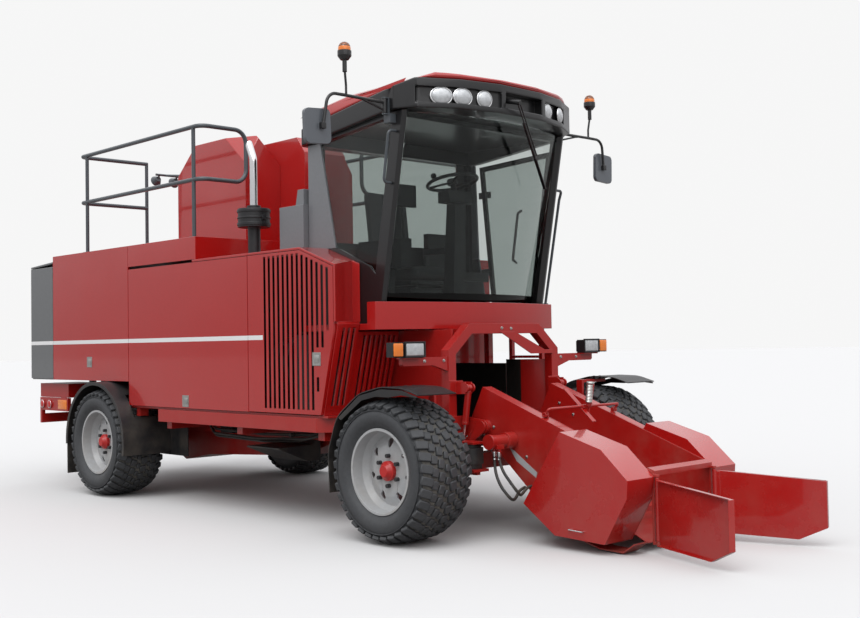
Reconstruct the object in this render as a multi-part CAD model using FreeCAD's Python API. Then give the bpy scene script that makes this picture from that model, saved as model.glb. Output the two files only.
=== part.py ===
"""Self-propelled packer for small square bales.

Frame: millimetres, +X forward, +Y to the machine's left, +Z up, origin on the ground under the middle of the box.
Bales enter between the pickup arms at the front, pass under the cab and leave as bundles at the rear.
"""
import FreeCAD, Part
import math
import os

V = FreeCAD.Vector
os.makedirs("parts", exist_ok=True)

# ---- driving dimensions -------------------------------------------------------------------------------------
LENGTH_HALF = 4150          # rear shields and wing tips reach this far from the origin
BODY_HALF = 1250            # outer plane of the side doors
DOOR_DEPTH = 24             # folded depth of a door
DOOR_SKIN = 4
DOOR_GAP = 4
INNER_HALF = BODY_HALF - DOOR_DEPTH - 4     # frame and decks end behind the doors
SHEET = 20                  # folded thickness of deck and hood sheets

REAR_X, REAR_DOOR_X, MID_DOOR_X, LOUVRE_X = -4150, -3624, -2022, -24
HOOD_PEAK_X, HOOD_NOSE_X, HOOD_TOE_X = 695, 1141, 949
DECK_Z, HOOD_Z, NOSE_TOP_Z, NOSE_LOW_Z = 2427, 2220, 2057, 1616
REAR_DOOR_Z, MID_DOOR_Z = 1119, 892
RISER_X = -822              # front end of the raised deck
SILL_TOP_Z, SILL_LOW_Z = 870, 757

RAIL_IN, RAIL_OUT = 530, 630                # chassis side rails
RAIL_LOW, RAIL_TOP = 620, 740
TUNNEL_HALF = 500           # clear half width of the bale path
TUNNEL_WALL = 20

FRONT_AXLE_X, REAR_AXLE_X = 1750, -2447
WHEEL_R = 525               # tyre outer radius, also the hub height
TYRE_IN, TYRE_OUT = 900, 1400
RIM_R = 300                 # bead seat radius
RIM_FLANGE_R = 312
KINGPIN_Y = 850
KINGPIN_R = 30
SPINDLE_R = 45
FIT = 0.05                  # radial running clearance of pins and spindles

GANTRY_X0, GANTRY_X1 = 1670, 1750
GANTRY_OUT, GANTRY_TUBE = 645, 80
GANTRY_SHOULDER_Z, GANTRY_TOP_Z, GANTRY_TOP_Y = 1384, 1587, 410
LAMP_FOOT_Z = 1334          # the headlamps stand on the arms at this height

CAB_HALF = 950
CAB_REAR_X = 440
CAB_FLOOR_Z, BAND_TOP_Z = 1600, 1765
HEADER_Z = 3215             # top of the windshield
SCREEN_LOW_X, SCREEN_TOP_X = 1455, 1790     # windshield centre, outside face
SCREEN_BULGE = 190          # how far the corners stand back from the centre
SCREEN_HALF_LOW, SCREEN_HALF_TOP = 872, 878
ROOF_HALF, ROOF_FRONT_X = 1000, 1960

PICKUP_PIVOT = (1950, 800)  # x, z of the lift pivot
ARM_IN, ARM_SKIN, ARM_OUT = 350, 360, 450
COVER_OUT = 656
CYL_TOP = (1860, 1095)      # x, z of the lift cylinder's upper pin
CYL_LOW = (1790, 660)       # x, z of its lever pin
CYL_Y = 545
WING_HINGE = (3420, 348)
MOTOR_AXIS = (2210, 712)    # x, z of the feed drive

RAIL_TUBE_R = 20            # guard rail tube
GUARD_TOP_Z, GUARD_MID_Z, GUARD_Y = 3430, 2950, 1190
GUARD_REAR_X, GUARD_FRONT_X = -3080, -815


# ---- small builders -----------------------------------------------------------------------------------------
def box(x0, x1, y0, y1, z0, z1):
    """A block between two corners."""
    return Part.makeBox(abs(x1 - x0), abs(y1 - y0), abs(z1 - z0), V(min(x0, x1), min(y0, y1), min(z0, z1)))


def prism(points, place, direction):
    """A polygon, given as 2-D points that place() puts in space, pushed along a direction."""
    corners = [place(a, b) for a, b in points]
    return Part.Face(Part.makePolygon(corners + corners[:1])).extrude(direction)


def prism_y(points, y0, y1):
    """An XZ outline between two Y planes."""
    return prism(points, lambda x, z: V(x, y0, z), V(0, y1 - y0, 0))


def prism_x(points, x0, x1):
    """A YZ outline between two X planes."""
    return prism(points, lambda y, z: V(x0, y, z), V(x1 - x0, 0, 0))


def prism_z(points, z0, z1):
    """An XY outline between two Z planes."""
    return prism(points, lambda x, y: V(x, y, z0), V(0, 0, z1 - z0))


def cyl_y(x, z, r, y0, y1):
    return Part.makeCylinder(r, abs(y1 - y0), V(x, min(y0, y1), z), V(0, 1, 0))


def cyl_z(x, y, r, z0, z1):
    return Part.makeCylinder(r, z1 - z0, V(x, y, z0), V(0, 0, 1))


def rod(a, b, r):
    """A round bar between two points."""
    a, b = V(*a), V(*b)
    return Part.makeCylinder(r, (b - a).Length, a, b - a)


def beam(a, b, half_w, half_h, side):
    """A rectangular bar between two points; side is the direction that half_w lies along."""
    a, b, side = V(*a), V(*b), V(*side)
    along = (b - a).normalize()
    side = (side - along * side.dot(along)).normalize()
    up = along.cross(side)
    corners = [a + side * (i * half_w) + up * (j * half_h) for i, j in ((-1, -1), (1, -1), (1, 1), (-1, 1))]
    return Part.Face(Part.makePolygon(corners + corners[:1])).extrude(b - a)


def bent_path(points, radius):
    """Straight runs joined by tangent arcs; radius is one number or one per inner point."""
    pts = [V(*p) for p in points]
    radii = [radius] * (len(pts) - 2) if isinstance(radius, (int, float)) else radius
    edges, start = [], pts[0]
    for i, r in enumerate(radii, 1):
        into = (pts[i] - pts[i - 1]).normalize()
        out = (pts[i + 1] - pts[i]).normalize()
        turn = into.getAngle(out)
        cut = r * math.tan(turn / 2)
        a, c = pts[i] - into * cut, pts[i] + out * cut
        bisector = (out - into).normalize()
        mid = pts[i] + bisector * (r / math.cos(turn / 2) - r)
        if (a - start).Length > 0.01:
            edges.append(Part.LineSegment(start, a).toShape())
        edges.append(Part.Arc(a, mid, c).toShape())
        start = c
    edges.append(Part.LineSegment(start, pts[-1]).toShape())
    return Part.Wire(edges)


def tube(points, r, radius, bore=0.0):
    """A round tube along a bent path."""
    path = bent_path(points, radius)
    axis = V(*points[1]) - V(*points[0])

    def sweep(section_r):
        ring = Part.Wire(Part.makeCircle(section_r, V(*points[0]), axis))
        return path.makePipeShell([ring], True, True)

    solid = sweep(r)
    return solid.cut(sweep(bore)) if bore else solid


def sheet_y(points, radius, thickness, y0, y1):
    """A bent sheet: an XZ path with rounded corners, thickened and pushed along Y."""
    wire = bent_path([(x, y0, z) for x, z in points], radius)
    face = wire.makeOffset2D(thickness, 0, True, True)
    return face.extrude(V(0, y1 - y0, 0))


def fuse(shapes):
    whole = shapes[0].fuse(shapes[1:]) if len(shapes) > 1 else shapes[0]
    return whole.removeSplitter()


def mirrored(shape):
    """The same shape on the other side of the machine."""
    return shape.mirror(V(0, 0, 0), V(0, 1, 0))


def both(shape):
    return [shape, mirrored(shape)]


def at_hub(shape, x, side):
    """A wheel part, modelled on the left at the origin's hub, put at its axle; side is +1 left, -1 right."""
    placed = shape.translated(V(x, 0, WHEEL_R))
    return placed if side > 0 else mirrored(placed)


def export(name, shapes):
    """One STEP per named sub-part."""
    shapes = shapes if isinstance(shapes, list) else [shapes]
    solids = [s for shape in shapes for s in shape.Solids]
    for solid in solids:
        if not solid.isValid():
            print("not valid:", name)
    Part.makeCompound(solids).exportStep("parts/" + name + ".step")
    print(f"{name}: {len(solids)} solid(s)")


SIDES = {"right": -1, "left": 1}


# ---- chassis ------------------------------------------------------------------------------------------------
def main_frame():
    """Two rails with crossmembers, outriggers, sill skirts, floor ledges, door posts and the belly tray."""
    pieces = []
    rail = box(-3900, GANTRY_X0, RAIL_IN, RAIL_OUT, RAIL_LOW, RAIL_TOP)
    for x in (-3860, -2610, -2370, -1500, -300, 820, 1590):
        pieces.append(box(x, x + 80, -RAIL_IN, RAIL_IN, RAIL_LOW, RAIL_LOW + 80))
    skirt = prism_z([(-1480, 1110), (-1480, BODY_HALF), (880, BODY_HALF), (1000, 1120), (1000, 1110)],
                    SILL_LOW_Z, SILL_TOP_Z)
    ledge = box(MID_DOOR_X, 1000, RAIL_OUT, INNER_HALF, SILL_TOP_Z, SILL_TOP_Z + 18)
    rear_ledge = box(REAR_DOOR_X, MID_DOOR_X, TUNNEL_HALF + TUNNEL_WALL, INNER_HALF, 1124, 1142)
    half = [rail, skirt, ledge, rear_ledge]
    for x in (-1440, -300, 820):
        half.append(box(x, x + 80, RAIL_OUT, 1180, 690, SILL_LOW_Z))
    for x in (-1980, -1440, -300, 820):
        half.append(box(x, x + 60, RAIL_OUT - 30, 680, RAIL_TOP - 60, SILL_TOP_Z))
    for x in (REAR_DOOR_X, MID_DOOR_X - 30):
        half.append(box(x, x + 60, 1150, 1210, 1124, HOOD_Z - SHEET))
    half.append(box(MID_DOOR_X + 5, MID_DOOR_X + 50, 1150, 1210, SILL_TOP_Z, 1142))
    half.append(box(LOUVRE_X - 60, LOUVRE_X, 1150, 1210, SILL_TOP_Z, HOOD_Z - SHEET))
    half.append(box(REAR_DOOR_X, REAR_DOOR_X + 60, RAIL_OUT - 60, 700, RAIL_TOP - 40, 1124))
    half.append(box(-2300, MID_DOOR_X, 660, 720, SILL_TOP_Z, 1124))
    half.append(box(-2300, MID_DOOR_X + 20, RAIL_OUT - 30, 720, RAIL_TOP - 60, SILL_TOP_Z + 18))
    half.append(box(-1960, -1900, 1110, 1200, 790, SILL_TOP_Z))
    half.append(box(-1960, -1900, RAIL_OUT, 1200, 850, SILL_TOP_Z))
    for piece in half:
        pieces += both(piece)
    tray = prism_y([(-2250, 300), (-1800, 375), (-300, 450), (250, RAIL_LOW), (-3000, RAIL_LOW)], -480, 480)
    tray = tray.cut(prism_y([(-2200, 312), (-1800, 387), (-305, 462), (190, 640), (-2900, 640)], -468, 468))
    pieces.append(tray.cut(box(-2580, -2310, -490, 490, 420, 606)))
    pieces.append(box(-3860, -3780, -RAIL_IN, RAIL_IN, RAIL_LOW, RAIL_LOW + 80))
    hitch = fuse([box(-4000, -3860, -70, 70, 590, RAIL_LOW + 60), box(-4080, -4000, -70, 70, 590, 615),
                  cyl_z(-4080, 0, 70, 590, 615)])
    pieces.append(hitch.cut(cyl_z(-4080, 0, 16, 560, 700)))
    return fuse(pieces)


def front_axle_beam():
    """Steering axle: a box beam with a fork for the kingpin at each end and pads for the air springs."""
    beam_body = box(FRONT_AXLE_X - 60, FRONT_AXLE_X + 60, -780, 780, WHEEL_R - 60, WHEEL_R + 60)
    half = []
    for z in (WHEEL_R - 80, WHEEL_R + 60):
        plate = fuse([box(FRONT_AXLE_X - 60, FRONT_AXLE_X + 60, 700, KINGPIN_Y, z, z + 20),
                      cyl_z(FRONT_AXLE_X, KINGPIN_Y, 60, z, z + 20)])
        half.append(plate.cut(cyl_z(FRONT_AXLE_X, KINGPIN_Y, KINGPIN_R + FIT, z - 5, z + 25)))
    half.append(box(FRONT_AXLE_X + 60, 2090, 580, 740, 485, 505))
    half.append(box(FRONT_AXLE_X + 60, 2060, 640, 680, 460, 485))
    links = [box(1300, FRONT_AXLE_X - 60, 440, 480, 500, 550)]
    links.append(box(1300, 1350, 440, 480, 500, RAIL_LOW))
    pieces = [beam_body]
    for piece in half + links:
        pieces += both(piece)
    return fuse(pieces)


def rear_axle_beam():
    """Rigid rear axle with a spring seat under each rail and a round stub for each wheel."""
    x = REAR_AXLE_X
    pieces = [box(x - 65, x + 65, -860, 860, WHEEL_R - 65, WHEEL_R + 65)]
    for side in (1, -1):
        pieces.append(box(x - 90, x + 90, side * RAIL_IN, side * RAIL_OUT, WHEEL_R + 65, RAIL_LOW))
        pieces.append(cyl_y(x, WHEEL_R, SPINDLE_R, side * 860, side * 1290))
        pieces.append(cyl_y(x, WHEEL_R, 100, side * 860, side * 1120))
    return fuse(pieces)


def air_springs():
    """A rolling-lobe air spring each side between the axle pad and the frame arm."""
    bag = fuse([cyl_z(1975, 660, 88, 505, 540), cyl_z(1975, 660, 100, 540, 660),
                cyl_z(1975, 660, 84, 660, 690)])
    return both(bag)


def front_gantry():
    """Portal over the bale mouth, with lamp arms, cylinder ears, pivot ears and the air spring arms."""
    outer = [(GANTRY_OUT, RAIL_LOW), (GANTRY_OUT, GANTRY_SHOULDER_Z), (GANTRY_TOP_Y, GANTRY_TOP_Z)]
    t = GANTRY_TUBE
    inner = [(GANTRY_OUT - t, RAIL_LOW), (GANTRY_OUT - t, GANTRY_SHOULDER_Z - 33),
             (GANTRY_TOP_Y - 28, GANTRY_TOP_Z - t)]

    def loop(half):
        return half + [(-y, z) for y, z in reversed(half)]

    portal = prism_x(loop(outer), GANTRY_X0, GANTRY_X1).cut(prism_x(loop(inner), GANTRY_X0 - 5,
                                                                    GANTRY_X1 + 5))
    half = []
    lamp_arm = prism_x([(GANTRY_OUT, 1225), (GANTRY_OUT, LAMP_FOOT_Z), (1112, LAMP_FOOT_Z), (1112, 1284),
                        (1098, 1272),
                        (800, 1272)], 1700, 1742)
    half.append(lamp_arm)
    half.append(box(1700, 1790, 945, 1135, LAMP_FOOT_Z - 8, LAMP_FOOT_Z))
    half.append(box(GANTRY_X1, GANTRY_X1 + 12, CYL_Y - 39, GANTRY_OUT, 1045, 1150))
    for y in (CYL_Y - 39, CYL_Y + 27):
        ear = fuse([box(GANTRY_X1, CYL_TOP[0], y, y + 12, 1050, 1140), cyl_y(*CYL_TOP, 34, y, y + 12)])
        half.append(ear)
    half.append(cyl_y(*CYL_TOP, 14, CYL_Y - 39, CYL_Y + 39))
    half.append(box(GANTRY_X1, GANTRY_X1 + 20, 482, GANTRY_OUT, 720, 880))
    px, pz = PICKUP_PIVOT
    ear = prism_y([(GANTRY_X1, 725), (GANTRY_X1, 875), (px, pz + 55), (px, pz - 55)], 482, 500)
    ear = fuse([ear, cyl_y(px, pz, 55, 482, 500)]).cut(cyl_y(px, pz, 25 + FIT, 470, 510))
    half.append(ear)
    half.append(prism_x([(GANTRY_OUT - 5, 690), (GANTRY_OUT - 5, 790), (740, 720), (740, 690)], 1700, 1750))
    half.append(box(1700, 2085, 600, 740, 690, 706))
    half.append(box(1480, GANTRY_X0, 300, 380, 1507, 1550))
    pieces = [portal]
    for piece in half:
        pieces += both(piece)
    strap = prism_x([(-70, 1520), (110, 1520), (470, 1372), (300, 1340)], GANTRY_X1, GANTRY_X1 + 8)
    pieces.append(strap)
    pieces.append(prism_x([(300, 1340), (470, 1372), (575, 1372), (575, 1340)], GANTRY_X1, GANTRY_X1 + 8))
    return fuse(pieces)


def headlamps():
    """A ribbed box lamp and a side indicator on each arm."""
    z = LAMP_FOOT_Z
    body = box(1712, 1792, 945, 1130, z, z + 112)
    rim = box(1792, 1806, 935, 1140, z + 2, z + 120).cut(box(1796, 1810, 946, 1129, z + 13, z + 109))
    indicator = box(1722, 1794, 1150, 1252, z + 6, z + 114)
    fins = [box(1700, 1712, y, y + 6, z + 10, z + 102) for y in range(950, 1125, 18)]
    bridge = box(1722, 1788, 1130, 1150, z + 18, z + 100)
    return both(fuse([body, rim, indicator, bridge] + fins))


def rear_mudguards():
    """Rolled guards over the rear tyres with rubber flaps and the black inner arch plates."""
    r = 590
    centre = V(REAR_AXLE_X, 0, WHEEL_R)

    def on_arc(deg, radius, y):
        a = math.radians(deg)
        return centre + V(radius * math.cos(a), y, radius * math.sin(a))

    def band(radius_out, radius_in, y0, y1, start, end):
        mid = (start + end) / 2
        outer = Part.Arc(on_arc(start, radius_out, y0), on_arc(mid, radius_out, y0),
                         on_arc(end, radius_out, y0))
        inner = Part.Arc(on_arc(end, radius_in, y0), on_arc(mid, radius_in, y0), on_arc(start, radius_in, y0))
        edges = [outer.toShape(), Part.makeLine(on_arc(end, radius_out, y0), on_arc(end, radius_in, y0)),
                 inner.toShape(), Part.makeLine(on_arc(start, radius_in, y0), on_arc(start, radius_out, y0))]
        return Part.Face(Part.Wire(edges)).extrude(V(0, y1 - y0, 0))

    guard = band(r, r - 8, 890, 1400, -10, 184)
    lip = band(r - 8, r - 34, 1388, 1400, -10, 184)
    rear_end = REAR_AXLE_X - r
    flap = box(rear_end, rear_end + 14, 940, 1385, 185, 490)
    beside_body = box(-2090, -1800, 880, BODY_HALF + 6, 780, 1110)
    arch = fuse([box(-3150, -2060, 878, 890, 400, 1110), box(-2060, -1560, 878, 890, 400, 846)])
    arch = arch.cut(box(-2560, -2330, 870, 900, 380, 640))
    return both(fuse([guard.cut(beside_body), lip, flap, arch]))


def rear_light_bar():
    """Underrun bar with side returns and round lamps, and the tool boxes that stand on it."""
    pieces = [box(-4130, -4090, -1160, 1160, 640, 740)]
    for side in (1, -1):
        pieces.append(box(-4090, -3480, side * 1120, side * 1160, 780, 920))
        pieces.append(box(-4090, -3900, side * RAIL_IN, side * RAIL_OUT, 640, 740))
        pieces.append(box(-4130, -4090, side * 1120, side * 1160, 740, 920))
        for x in (-4050, -3880):
            pieces.append(cyl_y(x, 850, 46, side * 1160, side * 1176))
    boxes = both(box(-4140, -3480, 710, 1150, 924, 1072))
    for side in (1, -1):
        pieces.append(box(-3660, -3560, side * 1130, side * 1150, 920, 924))
    return [fuse(pieces)] + boxes


# ---- body ---------------------------------------------------------------------------------------------------
def bale_tunnel():
    """Floor and walls of the bale path: low under the cab, deck height in the bundle chamber."""
    low, wall = RAIL_TOP, TUNNEL_HALF + TUNNEL_WALL
    floor = box(-3990, 1660, -wall, wall, low, low + 12)
    lip = box(1660, 1890, -340, 340, low, low + 12)
    pieces = [floor, lip]
    tall_x = RISER_X - 62
    pieces += both(box(-3600, tall_x, TUNNEL_HALF, wall, low, DECK_Z - 27))
    pieces += both(box(tall_x, 420, TUNNEL_HALF, wall, low, 1500))
    pieces.append(box(420, GUIDE_X0 - 4, TUNNEL_HALF, wall, low, 1257))
    pieces.append(box(420, 1660, -wall, -TUNNEL_HALF, low, 1545))
    pieces.append(box(tall_x, tall_x + TUNNEL_WALL, -TUNNEL_HALF, TUNNEL_HALF, 1500, HOOD_Z - SHEET))
    return fuse(pieces)


GUIDE_X0 = 1292             # where the left wall ends and the guide plate begins


def guide_plate():
    """Curved plate that leads bales past the left gantry post."""
    def bow(shift):
        return Part.Arc(V(GUIDE_X0, TUNNEL_HALF + shift, 752), V(1490, 512 + shift, 752),
                        V(1655, 590 + shift, 752))
    near, far = bow(0).toShape(), bow(8).toShape()
    ends = [Part.makeLine(near.Vertexes[i].Point, far.Vertexes[i].Point) for i in (0, 1)]
    plan = Part.Face(Part.Wire(Part.__sortEdges__([near, far] + ends)))
    return plan.extrude(V(0, 0, 1290 - 752))


def service_deck():
    """Upper deck, its riser, the lower deck behind the cab and the low cover behind the tower."""
    upper = box(REAR_DOOR_X, RISER_X, -INNER_HALF, INNER_HALF, DECK_Z - 27, DECK_Z)
    riser_front = box(RISER_X - SHEET, RISER_X, -BODY_HALF, BODY_HALF, HOOD_Z, DECK_Z)
    lower = box(RISER_X - 60, CAB_REAR_X - 4, -950, 950, HOOD_Z - SHEET, HOOD_Z)
    pieces = [upper, riser_front, lower]
    for side in (1, -1):
        pieces.append(box(MID_DOOR_X + 2, RISER_X, side * INNER_HALF, side * BODY_HALF, HOOD_Z + 2, DECK_Z))
        pieces.append(box(RISER_X - 60, LOUVRE_X - 2, side * 950, side * BODY_HALF, HOOD_Z - SHEET, HOOD_Z))
        pieces.append(box(REAR_DOOR_X, RISER_X - 60, side * (INNER_HALF - 12), side * INNER_HALF, 2300,
                          DECK_Z))
        pieces.append(box(-3200, -2300, side * 280, side * 300, DECK_Z, DECK_Z + 150))
        pieces.append(box(-3200, -3180, side * 300, 0, DECK_Z, DECK_Z + 150))
    pieces.append(box(-3200, -2300, -300, 300, DECK_Z + 150, DECK_Z + 162))
    left = box(LOUVRE_X - 2, CAB_REAR_X - 4, 950, BODY_HALF, HOOD_Z - SHEET, HOOD_Z)
    pieces.append(left)
    pieces.append(box(CAB_REAR_X - 30, CAB_REAR_X - 10, 560, 1230, SILL_TOP_Z + 18, HOOD_Z - SHEET))
    return fuse(pieces)


def side_door(x0, x1, z0, z1, side):
    """A folded door pan: a skin with a flange all round and two stiffeners."""
    outer = box(x0, x1, side * (BODY_HALF - DOOR_DEPTH), side * BODY_HALF, z0, z1)
    skin_in = side * (BODY_HALF - DOOR_SKIN)
    pocket = box(x0 + 5, x1 - 5, side * (BODY_HALF - DOOR_DEPTH - 5), skin_in, z0 + 5, z1 - 5)
    pan = outer.cut(pocket)
    ribs = [box(x0 + f * (x1 - x0) - 20, x0 + f * (x1 - x0) + 20, side * (BODY_HALF - DOOR_DEPTH), skin_in,
                z0 + 5, z1 - 5) for f in (0.33, 0.67)]
    return fuse([pan] + ribs)


NOSE_EDGE = 24              # width of the nose strip beside the louvred door


def louvre_outline(gap):
    """Side outline of the space under the hood top, drawn in by a gap."""
    slope = (HOOD_Z - NOSE_TOP_Z) / (HOOD_NOSE_X - HOOD_PEAK_X)
    nose_x = HOOD_NOSE_X - NOSE_EDGE
    top = HOOD_Z - SHEET
    return [(LOUVRE_X + gap, MID_DOOR_Z + gap), (HOOD_TOE_X - gap, MID_DOOR_Z + gap),
            (nose_x - gap, NOSE_LOW_Z - 60), (nose_x - gap, top - (nose_x - HOOD_PEAK_X) * slope - gap),
            (HOOD_PEAK_X, top - gap), (LOUVRE_X + gap, top - gap)]


SLOT_PITCH, SLOT_WIDTH, FIRST_SLOT_X, SLOT_COUNT = 63, 30, 205, 14


def louvre_door():
    """Right-hand hood door with upright slots, shorter where the latch sits."""
    y_in = -(BODY_HALF - DOOR_DEPTH)
    pan = prism_y(louvre_outline(DOOR_GAP), y_in, -BODY_HALF)
    pan = pan.cut(prism_y(louvre_outline(DOOR_GAP + 14), y_in + 5, -(BODY_HALF - DOOR_SKIN)))
    slope = (HOOD_Z - NOSE_TOP_Z) / (HOOD_NOSE_X - HOOD_PEAK_X)
    cuts = []
    for i in range(SLOT_COUNT):
        x = FIRST_SLOT_X + i * SLOT_PITCH
        top = HOOD_Z - 48 - max(0, x + SLOT_WIDTH - HOOD_PEAK_X) * slope
        low = 930 + max(0, x + SLOT_WIDTH - (HOOD_TOE_X - 60)) * (NOSE_LOW_Z - MID_DOOR_Z) / (HOOD_NOSE_X - HOOD_TOE_X)
        spans = [(low, top)]
        if i >= SLOT_COUNT - 3:
            spans = [(low, 1190), (1420, top)] if low < 1150 else [(max(low, 1420), top)]
        for z0, z1 in spans:
            cuts.append(box(x, x + SLOT_WIDTH, y_in + 6, -BODY_HALF - 5, z0, z1))
    return pan.cut(cuts)


def hood_shell():
    """Hood top, nose facets and the two sloping louvred front walls."""
    y_in = 955
    slope_top = [(LOUVRE_X, HOOD_Z), (HOOD_PEAK_X, HOOD_Z), (HOOD_NOSE_X, NOSE_TOP_Z),
                 (HOOD_NOSE_X, NOSE_TOP_Z - SHEET), (HOOD_PEAK_X - 4, HOOD_Z - SHEET),
                 (LOUVRE_X, HOOD_Z - SHEET)]
    nose_plan = [(LOUVRE_X - 10, 700), (1086, 700), (1086, 875), (1025, 982), (HOOD_NOSE_X, BODY_HALF),
                 (LOUVRE_X - 10, BODY_HALF)]
    top = prism_y(slope_top, y_in, BODY_HALF).common(prism_z(nose_plan, 1900, 2300))
    under = [(0, NOSE_LOW_Z), (1300, NOSE_LOW_Z), (HOOD_NOSE_X, NOSE_TOP_Z), (HOOD_PEAK_X, HOOD_Z - 1),
             (0, HOOD_Z - 1)]
    nose = prism_z([(1003, 978), (1086 - 24, y_in), (1086, y_in), (1025, 982)], NOSE_LOW_Z, 2210)
    strip_x = HOOD_NOSE_X - NOSE_EDGE
    facet = prism_z([(1003, 978), (1025, 982), (HOOD_NOSE_X, BODY_HALF), (strip_x, BODY_HALF),
                     (strip_x, INNER_HALF - 10)], NOSE_LOW_Z, 2210)
    nose = fuse([nose, facet]).common(prism_y(under, 900, BODY_HALF + 10))
    edge = prism_y(louvre_outline(0), INNER_HALF, INNER_HALF - 16).cut(
        prism_y(louvre_outline(40), INNER_HALF + 5, INNER_HALF - 30))

    def sloping_wall(y0, y1, back, top_z):
        run = (HOOD_NOSE_X - HOOD_TOE_X) / (NOSE_LOW_Z - MID_DOOR_Z)
        x_top = HOOD_TOE_X + (top_z - MID_DOOR_Z) * run - back
        x_low = HOOD_TOE_X - back
        wall = prism_y([(x_low, MID_DOOR_Z - 4), (x_top, top_z), (x_top - SHEET, top_z),
                        (x_low - SHEET, MID_DOOR_Z - 4)],
                       y0, y1)
        count = int((y1 - y0 - 40) / 52)
        for i in range(count):
            y = y0 + 30 + i * 52
            wall = wall.cut(prism_y([(x_low + 10, 930), (x_top + 10, top_z - 30), (x_top - 40, top_z - 30),
                                     (x_low - 40, 930)], y, y + 26))
        return wall

    under_nose = box(1030, 1121, 990, INNER_HALF, NOSE_LOW_Z - 16, NOSE_LOW_Z)
    walls = [sloping_wall(1006, INNER_HALF, 0, NOSE_LOW_Z - 16), sloping_wall(560, 1006, 16, 1540)]
    whole = fuse([top, nose, edge, under_nose] + walls)
    return mirrored(whole)


def rear_side_shields():
    """Black corner housings at the rear with a metal lid strip and a metal foot."""
    outer = box(REAR_X, REAR_DOOR_X - DOOR_GAP, 560, BODY_HALF, 1130, 2320)
    shell = outer.cut(box(REAR_X + 12, REAR_DOOR_X - 16, 572, BODY_HALF - 12, 1142, 2308))
    lid = prism_y([(REAR_X, 2322), (REAR_DOOR_X - DOOR_GAP, 2352), (REAR_DOOR_X - DOOR_GAP, 2372),
                   (REAR_X, 2342)], 555, BODY_HALF)
    web = box(REAR_X + 20, REAR_DOOR_X - 10, 600, BODY_HALF - 20, 2320, 2324)
    shell = fuse([shell, lid, web])
    foot = box(REAR_X + 10, REAR_DOOR_X - 10, 580, BODY_HALF - 10, 1118, 1130)
    bracket = box(REAR_DOOR_X - 80, REAR_DOOR_X - 20, 740, 800, 1072, 1118)
    return both(fuse([shell, foot, bracket]))


def bale_tower():
    """Faceted packing tower: two side housings and the taller one between them."""
    x0, x1, y0, y1, z1 = -2085, -900, 245, 650, 3430
    cut_h = 280

    def cut_corner(solid, p, q, r):
        """Takes off the corner outside the plane through three points, on the side away from the centre."""
        p, q, r = V(*p), V(*q), V(*r)
        normal = (q - p).cross(r - p).normalize()
        middle = V((x0 + x1) / 2, (y0 + y1) / 2, 2900)
        if normal.dot(middle - p) > 0:
            normal = normal * -1
        side = normal.cross(V(0, 0, 1)).normalize() * 2000
        up = normal.cross(side).normalize() * 2000
        centre = (p + q + r) * (1 / 3)
        slab = Part.Face(Part.makePolygon([centre + side + up, centre - side + up, centre - side - up,
                                           centre + side - up, centre + side + up])).extrude(normal * 1500)
        return solid.cut(slab)

    def faceted(inset):
        i = inset
        profile = [(x0 + i, DECK_Z + i * 0.5), (x0 + i, 3150), (-1756, z1 - i), (x1 - i, z1 - i),
                   (x1 - i, DECK_Z + i * 0.5)]
        block = prism_y(profile, y0 + i, y1 - i)
        block = cut_corner(block, (-1230 - i, y1 - i, z1 - i), (x1 - i, y1 - i, 3150),
                           (x1 - i, 526 - i, 3353))
        return cut_corner(block, (-1230 - i, y0 + i, z1 - i), (x1 - i, y0 + i, 3158), (x1 - i, 445, 3353))

    housing = faceted(0).cut(faceted(10))
    middle = prism_y([(-2000, DECK_Z), (-2000, 3400), (-640, 3400), (-520, 3250), (-520, HOOD_Z),
                      (RISER_X, HOOD_Z),
                      (RISER_X, DECK_Z)], -y0, y0)
    hollow = prism_y([(-1990, DECK_Z + 10), (-1990, 3390), (-645, 3390), (-530, 3246), (-530, HOOD_Z + 10),
                      (RISER_X + 10, HOOD_Z + 10), (RISER_X + 10, DECK_Z + 10)], -y0 + 10, y0 - 10)
    return both(housing) + [middle.cut(hollow)]


def guard_rails():
    """Deck rails: a top and a knee rail each side that turn inboard, joined by a round loop at the front."""
    top, knee, y, r = GUARD_TOP_Z, GUARD_MID_Z, GUARD_Y, RAIL_TUBE_R
    loop_in = 700
    hoop = [(GUARD_REAR_X, 420, top), (GUARD_REAR_X, y, top), (GUARD_FRONT_X, y, top),
            (GUARD_FRONT_X, loop_in, top),
            (GUARD_FRONT_X, loop_in, knee), (GUARD_FRONT_X, y, knee), (GUARD_REAR_X, y, knee),
            (GUARD_REAR_X, 420, knee)]
    pieces = [tube(hoop, r, [60, 90, 120, 120, 90, 60])]
    for x, py, height in ((-2950, y, top), (-930, y, top), (GUARD_REAR_X, 430, top)):
        pieces.append(rod((x, py, DECK_Z), (x, py, height), r - 2))
        pieces.append(box(x - 45, x + 45, py - 28, py + 28, DECK_Z, DECK_Z + 8))
    rail = fuse(pieces)
    arm = rod((-2085, 500, 3180), (-2560, 500, 3240), 12)
    bar = rod((-2560, 330, 3240), (-2560, 620, 3240), 12)
    foot = box(-2097, -2085, 460, 540, 3120, 3210)
    lamps = [Part.makeCone(28, 58, 60, V(-2575, ly, 3200), V(-1, 0, -0.35)) for ly in (370, 580)]
    stalks = [rod((-2560, ly, 3240), (-2585, ly, 3195), 10) for ly in (370, 580)]
    lights = fuse([arm, bar, foot] + lamps + stalks)
    return both(rail) + [mirrored(lights)]


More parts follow.
